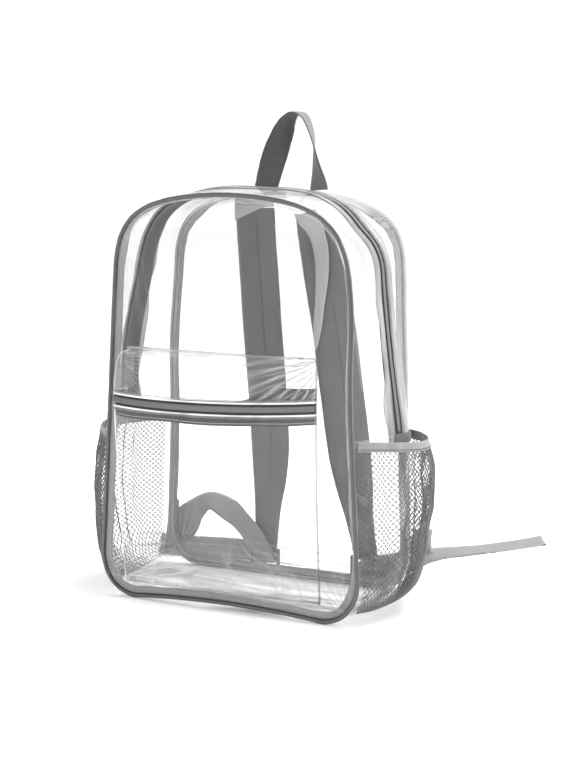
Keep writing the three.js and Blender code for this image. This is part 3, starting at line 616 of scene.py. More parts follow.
# %% [markdown]
# ## The gusset
# The gusset is the strip between the two seams. It stands out between them at the sides, more on the left,
# and comes down flat to the floor. A share of 0 is the front seam, 1 the back seam.

# %% Gusset surface
gusset_half = bag_depth / 2 - piping / 2 - 0.3
bulge_low = {-1: 22.0, 1: 14.0}
bulge_high = {-1: 4.0, 1: 2.0}
bulge_from = {-1: joint_height + 40, 1: joint_height}
bulge_to = {-1: 400.0, 1: arch_start}
top_bulge = 6.0
seam_inset = 2.0
bottom_flat = 1 / 3
joint_fall = {-1: 0.0, 1: 8.0}
joint_swell = {-1: 0.0, 1: 9.0}


def depth_share(distance):
    return distance / (2 * gusset_half)


def gusset(station, share, lift):
    """A point of the gusset, lift outside its smooth surface."""
    front = outline(station, front_top_width)
    back = outline(station, back_top_width)
    out = outward(station)
    dome = math.sin(math.pi * clamp(share))
    flat_dome = min(1.0, dome / math.sin(math.pi * bottom_flat))
    upright = seam_inset * flat_dome if out.y < 0 else top_bulge * dome
    side = -1 if out.x < 0 else 1
    high = smooth(bulge_from[side], bulge_to[side], front.y)
    sideways = mix(bulge_low[side], bulge_high[side], high)
    near_joint = math.exp(-(((front.y - joint_height) / 42) ** 2)) * out.x**2
    swell = joint_swell[side] * near_joint * math.exp(-(((share - 0.82) / 0.24) ** 2)) * dome**0.5
    shoulder = 9.0 * max(0.0, out.x) ** 2 * max(0.0, out.y) ** 2 * 4 * dome
    offset = lift - 1.0 - seam_inset + out.x**2 * sideways * dome + out.y**2 * upright - shoulder + swell
    up = rise(station) * max(0.0, 1 - share / bottom_flat)
    fall = joint_fall[side] * near_joint * clamp(share)
    return Vector((
        mix(front.x, back.x, share) + out.x * offset,
        mix(-gusset_half, gusset_half, share),
        mix(front.y, back.y, share) + out.y * offset + up - fall,
    ))


# %% [markdown]
# ## Panels
# Each panel is one sheet, sewn in all round. The film keeps long soft dents, and it puckers a little next to
# the seam. Near the bottom the front panel has slumped into level folds.

# %% Front and back panels
panel_inset = piping + 0.3
panel_bulge = {-1: 12.0, 1: 4.0}


def panel_y(x, z, side):
    """How far out the panel bulges at x and z."""
    across = x / (bottom_width / 2)
    up = (z - bag_height / 2) / (bag_height / 2)
    return side * (bag_depth / 2 + panel_bulge[side] * max(0.0, 1 - across**2) * max(0.0, 1 - up**2))


def panel_dents(x, z, edge, side):
    """How far the film stands off its smooth form, with puckers at the seam and slumped folds low down."""
    soft = 1.6 * ripple(x, side * 50, z * 0.5, 70) * smooth(0.0, 0.2, edge)
    pucker = 0.5 * ripple(x, side * 90, z, 9) * math.exp(-((edge / 0.08) ** 2))
    slump = 0.0
    if side < 0:
        band = math.exp(-(((z - 24) / 15) ** 2)) * smooth(0.0, 0.05, edge)
        slump = 1.5 * band * math.sin(z * 0.62 + 2.2 * ripple(x, 0, z, 60) + x * 0.012)
    return soft + pucker + slump


def panel(name, side):
    def place(u, v):
        station = u * 2 * TOP - TOP
        share = (1 - v) ** 0.8
        rim = seam(side, station, panel_inset, 0)
        at = Vector((0, 0, bag_height / 2)).lerp(rim, share)
        at.y = panel_y(at.x, at.z, side) + side * panel_dents(at.x, at.z, 1 - share, side)
        return at

    form = bent_grid(384, 56, place, (1200, 200), joined=True)
    return new_piece(name + "_film", form, "film", [name], thickness=0.5)


panel("front_panel", -1)
panel("back_panel", 1)

# %% [markdown]
# ## Stitches
# A row of stitches is a row of short threads that each lie on the cloth. A thread is a thin five-sided rod,
# placed along the line that the sewing machine followed.

# %% Rows of stitches
def stitches(name, line, kind="thread", pitch=3.0, gap=0.8, radius=0.24, samples=240):
    """A row along line(share), which gives points in millimetres."""
    points = [Vector(line(k / samples)) for k in range(samples + 1)]
    distances = [0.0]
    for a, b in zip(points, points[1:]):
        distances.append(distances[-1] + (b - a).length)

    def point_at(distance):
        k = 0
        while k < samples - 1 and distances[k + 1] < distance:
            k += 1
        span = max(distances[k + 1] - distances[k], 1e-6)
        return points[k].lerp(points[k + 1], (distance - distances[k]) / span)

    form = bmesh.new()
    start = gap
    while start + pitch - gap < distances[-1]:
        a, b = point_at(start), point_at(start + pitch - gap)
        turn = (b - a).to_track_quat("Z", "Y").to_matrix().to_4x4()
        bmesh.ops.create_cone(
            form, cap_ends=True, segments=5, radius1=radius * MM, radius2=radius * MM,
            depth=(b - a).length * MM,
            matrix=Matrix.Translation((a + b) / 2 * MM) @ turn,
        )
        start += pitch
    return new_piece(name, form, kind, rounded=False)


# %% [markdown]
# ## Gusset sheets
# The gusset is three sheets of film: one round the bottom and the low sides, and one on each side of the main
# zip. Each keeps soft dents of its own, and its edge along the zip runs a little wavy, as sewn film does.

# %% Gusset sheets
zip_setback, zip_opening, zip_tape_width = 78.0, 15.0, 34.0
joint_low = station_at(joint_height) - 0.01
joint_high = station_at(joint_height) + 0.01


def zip_share(across):
    return depth_share(zip_setback + across)


def gusset_dents(station, share):
    at = gusset(station, share, 0)
    soft = 2.2 * ripple(at.x + 300, at.y * 1.5, at.z * 0.5, 55)
    pucker = 0.4 * ripple(at.x, at.y * 0.3, at.z, 8) * math.exp(-((share * (1 - share) / 0.04) ** 2))
    return (soft + pucker) * math.sin(math.pi * clamp(share)) ** 0.5


def zip_edge(station, across):
    """The edge of the film beside the zip, which wanders where the film has stretched."""
    at = gusset(station, 0.5, 0)
    wander = 2.4 * ripple(at.x, 40 + across * 9, at.z, 38) + 0.8 * ripple(at.x, across * 5, at.z, 12)
    return across + math.copysign(1.0, across) * (0.8 + wander * 0.5)


def gusset_sheet(name, first, last, share_of, columns, rows):
    def place(u, v):
        station = mix(first, last, u)
        share = share_of(station, v)
        return gusset(station, share, 0.5 + gusset_dents(station, share))

    form = bent_grid(columns, rows, place, (abs(last - first) * 25, 70))
    return new_piece(name + "_film", form, "side_film", [name], thickness=0.5)


def front_share(station, v):
    return v * zip_share(zip_edge(station, -zip_opening / 2))


def rear_share(station, v):
    return mix(zip_share(zip_edge(station, zip_opening / 2)), 1, v)


gusset_sheet("upper_gusset_front", joint_high, 2 * TOP - joint_high, front_share, 300, 16)
gusset_sheet("upper_gusset_rear", joint_high, 2 * TOP - joint_high, rear_share, 300, 12)
gusset_sheet("lower_gusset", -joint_low, joint_low, lambda station, v: v, 260, 30)

# %% [markdown]
# ## Piping and seam binding
# A corded strip of glossy cloth is caught in each panel's seam, so the seam reads as a dark round line.
# Inside, the raw edges are bound with a woven tape. It lies flat against the panel at the bottom and at one
# side, and turns in along the gusset over the top, where it nearly disappears.

# %% Piping
def cord_piece(name, side, kind):
    radius = piping / 2 - 0.2

    def place(u, v):
        station = u * 2 * TOP - TOP
        angle = 2 * math.pi * v
        inset = piping / 2 - radius * math.cos(angle)
        wobble = 0.25 * ripple(station * 14, 0, side * 20, 6)
        return seam(side, station, inset + wobble, side * bag_depth / 2 - side * radius * math.sin(angle))

    form = bent_grid(480, 16, place, (1250, 14), joined=True)
    return new_piece(name + "_cord", form, kind, [name])


cord_piece("front_piping", -1, "cord")
cord_piece("back_piping", 1, "pale_cord")

# %% [markdown]
# ## Seam binding
# The binding is a narrow tape whose width leans more or less towards the gusset along the way. An angle that
# changes with the station does this with one grid.

# %% Seam binding
binding_width = 8.2


def seam_binding(name, side, lean_of):
    """The tape's width leans from the panel's plane towards the gusset, by an angle that changes."""
    def place(u, v):
        station = u * 2 * TOP - TOP
        lean = math.radians(lean_of(wrapped(station)))
        sag = 0.5 * ripple(station * 20, v * 6, side * 60, 11) * v
        wide = binding_width * (1 + 0.1 * ripple(station * 24, 5, side * 40, 16))
        across = wide * v * math.cos(lean)
        back = wide * v * math.sin(lean) + 1.1 + sag
        return seam(side, station, piping - 0.9 + across, side * (bag_depth / 2 - back))

    form = bent_grid(480, 5, place, (1250, binding_width), joined=True)
    return new_piece(name + "_binding", form, "binding", [name], thickness=0.7)


def front_lean(station):
    """Degrees that the front tape leans, from 0 against the panel to 78 along the gusset."""
    left_top = smooth(16.0, 18.0, -station)
    right = smooth(7.0, 9.5, station)
    return 78 * max(left_top, right)


def back_lean(station):
    return 74 * smooth(18.5, 20.5, abs(station))


seam_binding("front_seam_tape", -1, front_lean)
seam_binding("back_seam_tape", 1, back_lean)

# %% [markdown]
# ## Seam allowances
# The raw edge of the film inside the seam stands off at an angle and looks milky. It is a strip like the
# binding, a little wavy.

# %% Seam allowances
def allowance(name, side, lean, wide, first, last):
    """The film's own raw edge, turned in along the seam, which looks milky."""
    def place(u, v):
        station = mix(first, last, u)
        swing = wide * (1 + 0.3 * ripple(station * 30, 3, side * 10, 21))
        across = swing * v * math.cos(lean) + 0.25 * ripple(station * 30, v * 9, side, 5)
        back = 1.9 + swing * v * math.sin(lean)
        return seam(side, station, piping - 0.6 + across, side * (bag_depth / 2 - back))

    form = bent_grid(300, 4, place, (900, wide))
    return new_piece(name, form, "hem_film", thickness=0.5)


allowance("front_seam_allowance", -1, math.radians(40), 7.0, -19.5, 26.0)
allowance("back_seam_allowance", 1, math.radians(30), 6.0, -TOP, TOP)

# %% [markdown]
# ## Main zip
# The zip runs from one side of the bag over the arch to the other. Its woven tape lies under both film edges,
# and the nylon coil lies in the open middle: two ridges of loops with a fine gap between them. The ridges and
# loops are shaped by the rule that places the grid's vertices.

# %% Zip tape and coil
def coil_height(along, across, height):
    """Two ridges of loops, 1.4 mm apart, that mesh in the middle."""
    ridge = abs(math.sin(math.pi * (across + 0.5)))
    half_turn = 0.5 if across < 0 else 0.0
    loop = 0.5 + 0.5 * math.sin(2 * math.pi * (along / 1.4 + half_turn))
    return height * (0.35 + 0.65 * ridge) * (0.72 + 0.28 * loop)


def gusset_strip(name, first, last, shares, kind, lift, columns, rows, flat, thickness, nodes=()):
    """A strip along the gusset between two shares of its depth, lifted off it by lift(station, v)."""
    def place(u, v):
        station = mix(first, last, u)
        share = mix(shares[0], shares[1], v)
        return gusset(station, share, lift(station, v) + gusset_dents(station, share))

    form = bent_grid(columns, rows, place, flat)
    return new_piece(name, form, kind, nodes, thickness=thickness)


upper_first, upper_last = joint_high, 2 * TOP - joint_high
upper_length = 760.0
gusset_strip(
    "main_zip_tape_cloth", upper_first, upper_last,
    (zip_share(-zip_tape_width / 2), zip_share(zip_tape_width / 2)), "tape",
    lambda station, v: -0.6, 300, 14, (upper_length, zip_tape_width), 0.6, ["main_zip_tape"],
)
coil_width = 5.6
gusset_strip(
    "main_zip_coil_loops", upper_first + 0.3, upper_last - 0.3,
    (zip_share(-coil_width / 2), zip_share(coil_width / 2)), "coil",
    lambda station, v: 0.1 + coil_height(station * 31.6, v - 0.5, 1.9),
    2600, 8, (upper_length, coil_width), 0.9, ["main_zip_coil"],
)


def turned_edge(name, toward):
    """The gusset film folded under where it is sewn to the zip: milky, 14 mm wide, its outer edge wavy."""
    def place(u, v):
        station = mix(upper_first, upper_last, u)
        edge = zip_edge(station, toward * zip_opening / 2)
        at = gusset(station, 0.5, 0)
        wide = 14.0 + 6.0 * ripple(at.x, toward * 70, at.z, 34)
        share = zip_share(edge + toward * wide * v)
        return gusset(station, share, 1.25 + 0.35 * math.sin(math.pi * v) + gusset_dents(station, share))

    form = bent_grid(300, 5, place, (upper_length, 12))
    return new_piece(name, form, "cover_film", thickness=0.5)


turned_edge("zip_turned_edge_front", -1)
turned_edge("zip_turned_edge_rear", 1)


def zip_seam(toward, inward):
    def line(share_along):
        station = mix(upper_first, upper_last, share_along)
        share = zip_share(zip_edge(station, toward * zip_opening / 2) + toward * inward)
        return gusset(station, share, 2.0 + gusset_dents(station, share))

    return line


for toward, word in ((-1, "front"), (1, "rear")):
    stitches(f"zip_stitches_{word}", zip_seam(toward, 2.0), samples=600)

# %% [markdown]
# ## Zip slider
# The slider is cast metal: a body over the coil, a bridge, and a pull of two rails and a tab. Bevelled cubes
# are enough for it at this size. It takes its place and its turn from the gusset's surface.

# %% Zip slider
def slider(name, side, height):
    """The body lies over the coil, a bridge stands on it, and the pull hangs down from the bridge."""
    station = side * station_at(height)
    seat = gusset(station, zip_share(0), 2.4)
    up = (gusset(station + side * 0.1, zip_share(0), 2.4) - seat).normalized()
    across = (gusset(station, zip_share(3), 2.4) - seat).normalized()
    out = up.cross(across).normalized()
    if out.x * side < 0:
        out.negate()
    turn = Matrix((across, up, out)).transposed().to_4x4()

    def block(form, size, spot, bevel, segments=3):
        made = bmesh.ops.create_cube(form, size=1.0)["verts"]
        bmesh.ops.scale(form, vec=Vector(size) * MM, verts=made)
        bmesh.ops.translate(form, vec=Vector(spot) * MM, verts=made)
        edges = list({edge for vert in made for edge in vert.link_edges})
        bmesh.ops.bevel(
            form, geom=edges, offset=bevel * MM, offset_type="OFFSET", segments=segments, profile=0.5,
            affect="EDGES", material=-1,
        )

    form = bmesh.new()
    block(form, (9.0, 12.5, 1.5), (0, 0, 1.3), 0.6)
    block(form, (7.0, 9.0, 0.8), (0, 0, 2.2), 0.3)
    block(form, (2.2, 7.5, 0.9), (0, 0, 4.0), 0.35)
    for end in (-1, 1):
        block(form, (2.2, 1.1, 1.9), (0, end * 3.2, 3.0), 0.3)
    block(form, (6.2, 2.0, 1.4), (0, -3.0, 3.2), 0.5)
    for rail in (-1, 1):
        block(form, (1.7, 21, 1.3), (rail * 2.2, -12.6, 2.7), 0.5)
    block(form, (6.2, 10, 1.5), (0, -24.0, 2.7), 0.6)
    bmesh.ops.transform(form, matrix=Matrix.Translation(seat * MM) @ turn, verts=form.verts)
    bmesh.ops.recalc_face_normals(form, faces=form.faces)
    return new_piece(name + "_metal", form, "metal", [name])


slider("main_zip_slider", -1, 214)

# %% [markdown]
# ## Zip ends
# Where the low sheet meets the two upper ones, the films are sewn together in a milky seam. From the zip to
# the back seam, a strip of dark binding covers the joint and the end of the zip.

# %% Zip end bindings
def joint_strip(name, side, shares, low, high, kind, puff, nodes=()):
    def place(u, v):
        share = mix(shares[0], shares[1], u)
        station = side * station_at(joint_height + mix(low, high, v))
        crown = puff * math.sin(math.pi * v) ** 0.5
        return gusset(station, share, 1.5 + crown + gusset_dents(station, share))

    form = bent_grid(70, 6, place, (120 * (shares[1] - shares[0]), high - low))
    return new_piece(name, form, kind, nodes, thickness=0.6)


for side, word in ((-1, "left"), (1, "right")):
    node = f"zip_end_binding_{word}"
    dark_from = zip_share(-12)
    dark_to = 1 - depth_share(3)
    joint_strip(node + "_cloth", side, (dark_from, dark_to), -1, 9, "dark_binding", 0.6, [node])
    joint_strip(f"joint_seam_{word}", side, (depth_share(2), dark_from), 2, 9, "hem_film", 0.3)

# %% [markdown]
# ## Front pocket
# The pocket is a bag on the bag. On the left its side is a deep fold that stands off the panel, and on the
# right it runs flat into its seam. The columns and rows give its form, as shares of its width and depth.

# %% Pocket form
pocket_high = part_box("pocket_top")[1]
pocket_bottom = 24.0
pocket_width = 208.0
pocket_depth = 40.0
pocket_zip_height, pocket_zip_sag, pocket_zip_opening, pocket_tape_width = 197.0, 3.0, 13.0, 35.0
pocket_top_height = pocket_high.z / MM - pocket_bottom
pocket_columns = [
    {"across": -1.0, "proud": 0.0},
    {"across": -1.01, "proud": 0.4},
    {"across": -1.01, "proud": 0.82},
    {"across": -0.94, "proud": 1.0},
    {"across": -0.6, "proud": 0.97},
    {"across": -0.2, "proud": 0.8},
    {"across": 0.25, "proud": 0.56},
    {"across": 0.65, "proud": 0.3},
    {"across": 0.92, "proud": 0.1},
    {"across": 1.0, "proud": 0.0},
]
tape_bottom = pocket_zip_height - pocket_tape_width / 2
tape_top = pocket_zip_height + pocket_tape_width / 2


def above_zip(up):
    return mix(tape_top, pocket_top_height, up)


pocket_rows = [
    {"height": 0.0, "wide": 1.03, "proud": 0.0, "sag": 0.0},
    {"height": 0.01 * tape_bottom, "wide": 1.04, "proud": 0.42, "sag": 0.0},
    {"height": 0.22 * tape_bottom, "wide": 1.03, "proud": 0.56, "sag": 0.15},
    {"height": 0.62 * tape_bottom, "wide": 1.01, "proud": 0.8, "sag": 0.6},
    {"height": tape_bottom, "wide": 1.0, "proud": 1.0, "sag": 1.0},
    {"height": pocket_zip_height - pocket_zip_opening / 2, "wide": 1.0, "proud": 1.0, "sag": 1.0},
    {"height": pocket_zip_height + pocket_zip_opening / 2, "wide": 1.0, "proud": 1.0, "sag": 1.0},
    {"height": tape_top, "wide": 1.0, "proud": 1.0, "sag": 1.0},
    {"height": above_zip(0.6), "wide": 1.0, "proud": 0.93, "sag": 0.4},
    {"height": above_zip(0.93), "wide": 1.0, "proud": 0.72, "sag": 0.08},
    {"height": above_zip(1.0), "wide": 1.0, "proud": 0.0, "sag": 0.0},
]
ZIP_ROW = 4
LAST_COLUMN = len(pocket_columns) - 1
LAST_ROW = len(pocket_rows) - 1
row_per_mm = 1 / (tape_top - pocket_zip_height - pocket_zip_opening / 2)


def along_columns(key, at):
    return through([column[key] for column in pocket_columns], at)


def along_rows(key, at):
    low = int(clamp(math.floor(at), 0, LAST_ROW - 1))
    if ZIP_ROW <= low < ZIP_ROW + 3:
        return mix(pocket_rows[low][key], pocket_rows[low + 1][key], at - low)
    return through([row[key] for row in pocket_rows], at)


def pocket_base(c, r):
    """A point of the pocket's inner face at a column and a row of its table."""
    across = along_columns("across", c)
    x = across * along_rows("wide", r) * pocket_width / 2
    sag = along_rows("sag", r) * pocket_zip_sag * max(0, 1 - across**2)
    z = pocket_bottom + along_rows("height", r) - sag
    seat = panel_y(x, z, -1) - 0.5 - 0.8
    proud = max(0.0, along_columns("proud", c) * along_rows("proud", r))
    return Vector((x, seat - proud * pocket_depth, z))


def pocket(c, r, lift):
    """A point of the pocket, lift away from its inner face."""
    step = 0.02
    here = pocket_base(c, r)
    across = pocket_base(min(c + step, LAST_COLUMN), r) - pocket_base(max(c - step, 0), r)
    up = pocket_base(c, min(r + step, LAST_ROW)) - pocket_base(c, max(r - step, 0))
    out = across.cross(up)
    out.y = min(out.y, 0.0)
    if out.length < 1e-9:
        out = Vector((0, -1, 0))
    return here + out.normalized() * lift


# %% [markdown]
# ## Pocket sheets
# The pocket's film is creased most where it is held: it fans out from the right end of its mouth, folds level
# near the floor and stays smooth next to the zip. The dents are sums of soft noise and sine waves.

# %% Pocket sheets
def fan(x, z, centre, phase, waves, reach):
    """Radiating pleats round a point, strongest near it."""
    dx, dz = x - centre[0], z - centre[1]
    far = math.hypot(dx, dz)
    turn = math.atan2(dz, dx)
    return math.sin(turn * waves + phase) * math.exp(-far / reach) * smooth(2, 12, far)


def pocket_dents(c, r):
    at = pocket_base(c, r)
    held = smooth(0, 0.6, r) * smooth(LAST_ROW, LAST_ROW - 0.5, r) * smooth(LAST_COLUMN, LAST_COLUMN - 0.4, c)
    soft = 2.0 * ripple(at.x, 30, at.z * 0.6, 48) + 0.7 * ripple(at.x * 1.4, 60, at.z * 0.5, 17)
    level = 1.3 * math.sin(at.z * 0.5 + 3 * ripple(at.x, 0, at.z, 50)) * math.exp(-(((at.z - 42) / 16) ** 2))
    pleats = 2.4 * fan(at.x, at.z, (106, 262), 0.0, 30, 60) if r > ZIP_ROW + 3 else 0.0
    corner = 1.5 * fan(at.x, at.z, (-104, 30), 0.6, 20, 26) if r < ZIP_ROW else 0.0
    if r < ZIP_ROW + 1:
        off_zip = smooth(ZIP_ROW - 0.6, ZIP_ROW - 1.4, r)
    else:
        off_zip = smooth(ZIP_ROW + 3, ZIP_ROW + 3.5, r)
    return held * (soft * off_zip + level + pleats + corner)


def pocket_sheet(name, kind, first, last, columns, rows):
    def place(u, v):
        c = u * LAST_COLUMN
        r = mix(first, last, v)
        return pocket(c, r, 0.5 + pocket_dents(c, r))

    form = bent_grid(columns, rows, place, (260, 190))
    return new_piece(name + "_film", form, kind, [name], thickness=0.5)


pocket_sheet("pocket_body", "pocket_film", 0, ZIP_ROW + 1, 160, 100)
pocket_sheet("pocket_top", "mouth_film", ZIP_ROW + 2, LAST_ROW, 160, 60)

# %% [markdown]
# ## Pocket zip
# The pocket's tape and coil are strips between two rows of the pocket. The tape shows above the zip only
# near its right end, so its upper row changes on the way.

# %% Pocket zip
def pocket_strip(
    name, low_row, high_row, lift, kind, columns, rows, flat, thickness, first, last, nodes=(),
):
    """A strip along the pocket, between two rows that may change on the way."""
    def place(u, v):
        c = mix(first, last, u)
        return pocket(c, mix(low_row(c), high_row(c), v), lift(u, v))

    form = bent_grid(columns, rows, place, flat)
    return new_piece(name, form, kind, nodes, thickness=thickness)


def tape_below(c):
    return ZIP_ROW + 1 - row_per_mm * (10.0 + 1.5 * ripple(c * 20, 3, 0, 20))


def tape_above(c):
    return ZIP_ROW + 2 + row_per_mm * (0.8 + 12.0 * smooth(6.0, 7.0, c) + 1.0 * ripple(c * 20, 8, 0, 20))


coil_half = coil_width / 2 / pocket_zip_opening
zip_last = LAST_COLUMN - 0.1
pocket_strip(
    "pocket_zip_tape_cloth", tape_below, tape_above, lambda u, v: -0.7 + 0.2 * ripple(u * 90, v * 9, 0, 6),
    "tape", 150, 16, (235, pocket_tape_width), 0.6, 1, zip_last, ["pocket_zip_tape"],
)
pocket_strip(
    "pocket_zip_coil_loops", lambda c: ZIP_ROW + 1.5 - coil_half, lambda c: ZIP_ROW + 1.5 + coil_half,
    lambda u, v: 0.1 + coil_height(u * 235, v - 0.5, 2.0),
    "coil", 1100, 8, (235, coil_width), 0.9, 1.6, LAST_COLUMN - 0.5, ["pocket_zip_coil"],
)

# %% [markdown]
# ## Turned film edges
# Where film ends at a zip or at the pocket's mouth it is turned under and stitched, and the double edge looks
# milky white.

# %% Film hems and pocket stitches
def pocket_hem(name, low, high, kind="hem_film", first=0.6, last=LAST_COLUMN):
    return pocket_strip(
        name, lambda c: low, lambda c: high, lambda u, v: 1.25 + 0.4 * math.sin(math.pi * v),
        kind, 160, 5, (240, 5), 0.8, first, last,
    )


pocket_hem("pocket_hem_below_zip", ZIP_ROW + 1 - 3.0 * row_per_mm, ZIP_ROW + 1.0)
pocket_hem("pocket_hem_above_zip", ZIP_ROW + 2.0, ZIP_ROW + 2 + 3.0 * row_per_mm)
pocket_hem("pocket_edge_below_zip", ZIP_ROW + 0.96, ZIP_ROW + 1.07, kind="edge_film")
pocket_hem("pocket_edge_above_zip", ZIP_ROW + 1.93, ZIP_ROW + 2.04, kind="edge_film")
pocket_hem("pocket_top_hem", LAST_ROW - 0.42, LAST_ROW - 0.02, first=0.9)


def pocket_line(c_from, c_to, r_from, r_to, lift):
    return lambda share: pocket(mix(c_from, c_to, share), mix(r_from, r_to, share), lift)


def side_hem(name, first_row, last_row):
    def place(u, v):
        return pocket(mix(LAST_COLUMN - 0.5, LAST_COLUMN, v), mix(first_row, last_row, u), 1.2)

    form = bent_grid(120, 4, place, (200, 5))
    return new_piece(name, form, "hem_film", thickness=0.6)


side_hem("pocket_side_hem_low", 0.05, ZIP_ROW + 1)
side_hem("pocket_side_hem_high", ZIP_ROW + 2, LAST_ROW - 0.05)


def fold_line(name, first_row, last_row, column):
    """The pocket's front left fold, where the film is bent sharply and turns white."""
    def place(u, v):
        row = mix(first_row, last_row, u)
        c = column + 0.1 * (v - 0.5) + 0.12 * ripple(row * 30, 4, 0, 24)
        return pocket(c, row, 1.1 + pocket_dents(c, row))

    form = bent_grid(120, 3, place, (200, 3))
    return new_piece(name, form, "edge_film", thickness=0.4)


fold_line("pocket_fold_low", 0.9, ZIP_ROW + 0.9, 2.7)
fold_line("pocket_fold_high", ZIP_ROW + 2.1, LAST_ROW - 0.3, 2.6)
pocket_rows_of_stitches = {
    "top": pocket_line(0.9, LAST_COLUMN, LAST_ROW - 0.22, LAST_ROW - 0.22, 1.9),
    "side": pocket_line(LAST_COLUMN - 0.3, LAST_COLUMN - 0.3, 0.1, LAST_ROW - 0.1, 2.0),
    "side_outer": pocket_line(LAST_COLUMN - 0.08, LAST_COLUMN - 0.08, 0.1, LAST_ROW - 0.1, 2.0),
    "bottom": pocket_line(1.5, LAST_COLUMN, 0.35, 0.35, 1.6),
    "bottom_bar": pocket_line(LAST_COLUMN - 1.5, LAST_COLUMN, 0.12, 0.12, 1.8),
    "corner_bar": pocket_line(LAST_COLUMN - 1.6, LAST_COLUMN - 0.1, LAST_ROW - 1.6, LAST_ROW - 0.7, 2.2),
}
for word, line in pocket_rows_of_stitches.items():
    stitches(f"pocket_stitches_{word}", line, pitch=2.8, radius=0.36)
for word, row in (("below", ZIP_ROW + 1 - 2.6 * row_per_mm), ("above", ZIP_ROW + 2 + 2.6 * row_per_mm)):
    line = pocket_line(0.9, LAST_COLUMN, row, row, 2.3)
    stitches(f"pocket_zip_stitches_{word}", line, pitch=2.6, radius=0.3)


def tape_seam(share):
    c = mix(1.5, zip_last, share)
    return pocket(c, tape_below(c) + 0.25, 0.9)


stitches("pocket_tape_stitches", tape_seam, kind="pale_thread", pitch=2.6)

# %% [markdown]
# ## Net side pockets
# The net is knitted from thin yarn with pointed gaps about 6 mm tall. Its threads are real: a fine grid is
# turned to diamonds, bent to the pocket's belly and gathered in soft pleats, and a Wireframe modifier draws a
# yarn along each edge.

# %% Net
net_seam_height = 14.0
hem_height = 10.0
net_bulge = {-1: 25.0, 1: 37.0}
net_profile = [(0.0, 0.0), (0.12, 0.42), (0.3, 0.8), (0.55, 1.0), (0.8, 0.93), (1.0, 0.72)]
hem_front = {-1: 176.0, 1: 188.0}
hem_dip = {-1: 2.5, 1: 4.0}


def hem_line(side, across):
    """How high the net's hem is: it sags between the seams, more where the pocket stands open."""
    return hem_front[side] - hem_dip[side] * math.sin(math.pi * clamp(across)) ** 1.5


def net_out(up):
    """The share of the net's belly at a share of its height."""
    for (low, out_low), (high, out_high) in zip(net_profile, net_profile[1:]):
        if up <= high:
            return mix(out_low, out_high, clamp((up - low) / (high - low)))
    return net_profile[-1][1]


def net_point(side, across, height, lift):
    share = mix(depth_share(3), 1 - depth_share(3), across)
    up = (height - net_seam_height) / (hem_front[side] - net_seam_height)
    bulge = net_bulge[side] * math.sin(math.pi * clamp(across)) ** 0.85
    base = 1.6 + 4 * max(0.0, 1 - (height - net_seam_height) / corner_height)
    gather = 1.0 + 0.5 * ripple(across * 90, 0, side * 50, 30)
    pleat = 2.6 * math.sin(across * 30 * gather + 2.4 * ripple(across * 60, height * 0.4, side * 30, 24))
    pleat += 1.6 * ripple(across * 150, height * 0.25, side * 70, 8)
    held = math.sin(math.pi * clamp(across)) ** 0.7 * smooth(0.0, 0.25, up) * (1 - 0.6 * smooth(0.8, 1.0, up))
    return gusset(side * station_at(height), share, base + bulge * net_out(up) + pleat * held + lift)


def net_piece(name, side, cells_across, cells_up):
    """The grid is turned by 45 degrees before it is bent, and what falls outside the pocket is left away."""
    count = cells_across + cells_up
    form = bmesh.new()
    bmesh.ops.create_grid(form, x_segments=count, y_segments=count, size=0.5)
    spots = {}
    for vert in form.verts:
        i, j = round((vert.co.x + 0.5) * count), round((vert.co.y + 0.5) * count)
        spots[vert] = ((i + j - cells_up) / 2 / cells_across, (j - i + cells_up) / 2 / cells_up)
    outside = [vert for vert, (u, v) in spots.items() if not (-0.001 <= u <= 1.001 and -0.001 <= v <= 1.001)]
    for vert, (u, v) in spots.items():
        u, v = clamp(u), clamp(v)
        slip = 0.35 / cells_across * ripple(u * 400, v * 400, side * 9, 7)
        height = mix(net_seam_height + 1, hem_line(side, u) - hem_height + 2, v)
        vert.co = net_point(side, clamp(u + slip * math.sin(math.pi * u)), height, 0.3) * MM
    bmesh.ops.delete(form, geom=outside, context="VERTS")
    cloth = form.loops.layers.uv.new("cloth")
    for face in form.faces:
        for loop in face.loops:
            loop[cloth].uv = (loop.vert.co.y / MM, loop.vert.co.z / MM)
    piece = new_piece(name + "_yarn", form, "net", [name])
    yarn = piece.modifiers.new("yarn", "WIREFRAME")
    yarn.thickness = 1.25 * MM
    yarn.use_even_offset = False
    return piece


net_piece("mesh_pocket_left", -1, 32, 28)
net_piece("mesh_pocket_right", 1, 34, 26)

# %% [markdown]
# ## Net hems
# A strip of binding is folded over each net's top edge. It is a closed tube, flat on the net and rounder
# along its top, with a row of stitches near its lower edge.

# %% Net hems
def net_hem(name, side):
    """A strip of binding folded over the net's top edge, with a soft roll along its top."""
    def place(u, v):
        angle = 2 * math.pi * v
        across = 0.004 + 0.992 * u
        down = hem_height / 2 * (1 - math.cos(angle))
        thick = 0.8 * math.sin(angle) * (1.5 if down < 2.2 else 1.0)
        return net_point(side, across, hem_line(side, across) - down, 0.6 + thick)

    form = bent_grid(110, 20, place, (170, 24), joined=True)
    bmesh.ops.holes_fill(form, edges=[edge for edge in form.edges if edge.is_boundary], sides=0)
    bmesh.ops.recalc_face_normals(form, faces=form.faces)
    def seam_line(share):
        across = mix(0.01, 0.99, share)
        return net_point(side, across, hem_line(side, across) - 7.6, 1.6)

    stitches(name + "_stitches", seam_line, pitch=2.8, radius=0.4)
    return new_piece(name + "_cloth", form, "hem", [name])


net_hem("mesh_hem_left", -1)
net_hem("mesh_hem_right", 1)

# %% [markdown]
# ## Ribbons
# The grab loop, the straps and the low webbing are ribbons. A ribbon follows listed points, turns its
# width as it goes, and has rounded edges. Its first face looks along the cross product of its way and width.

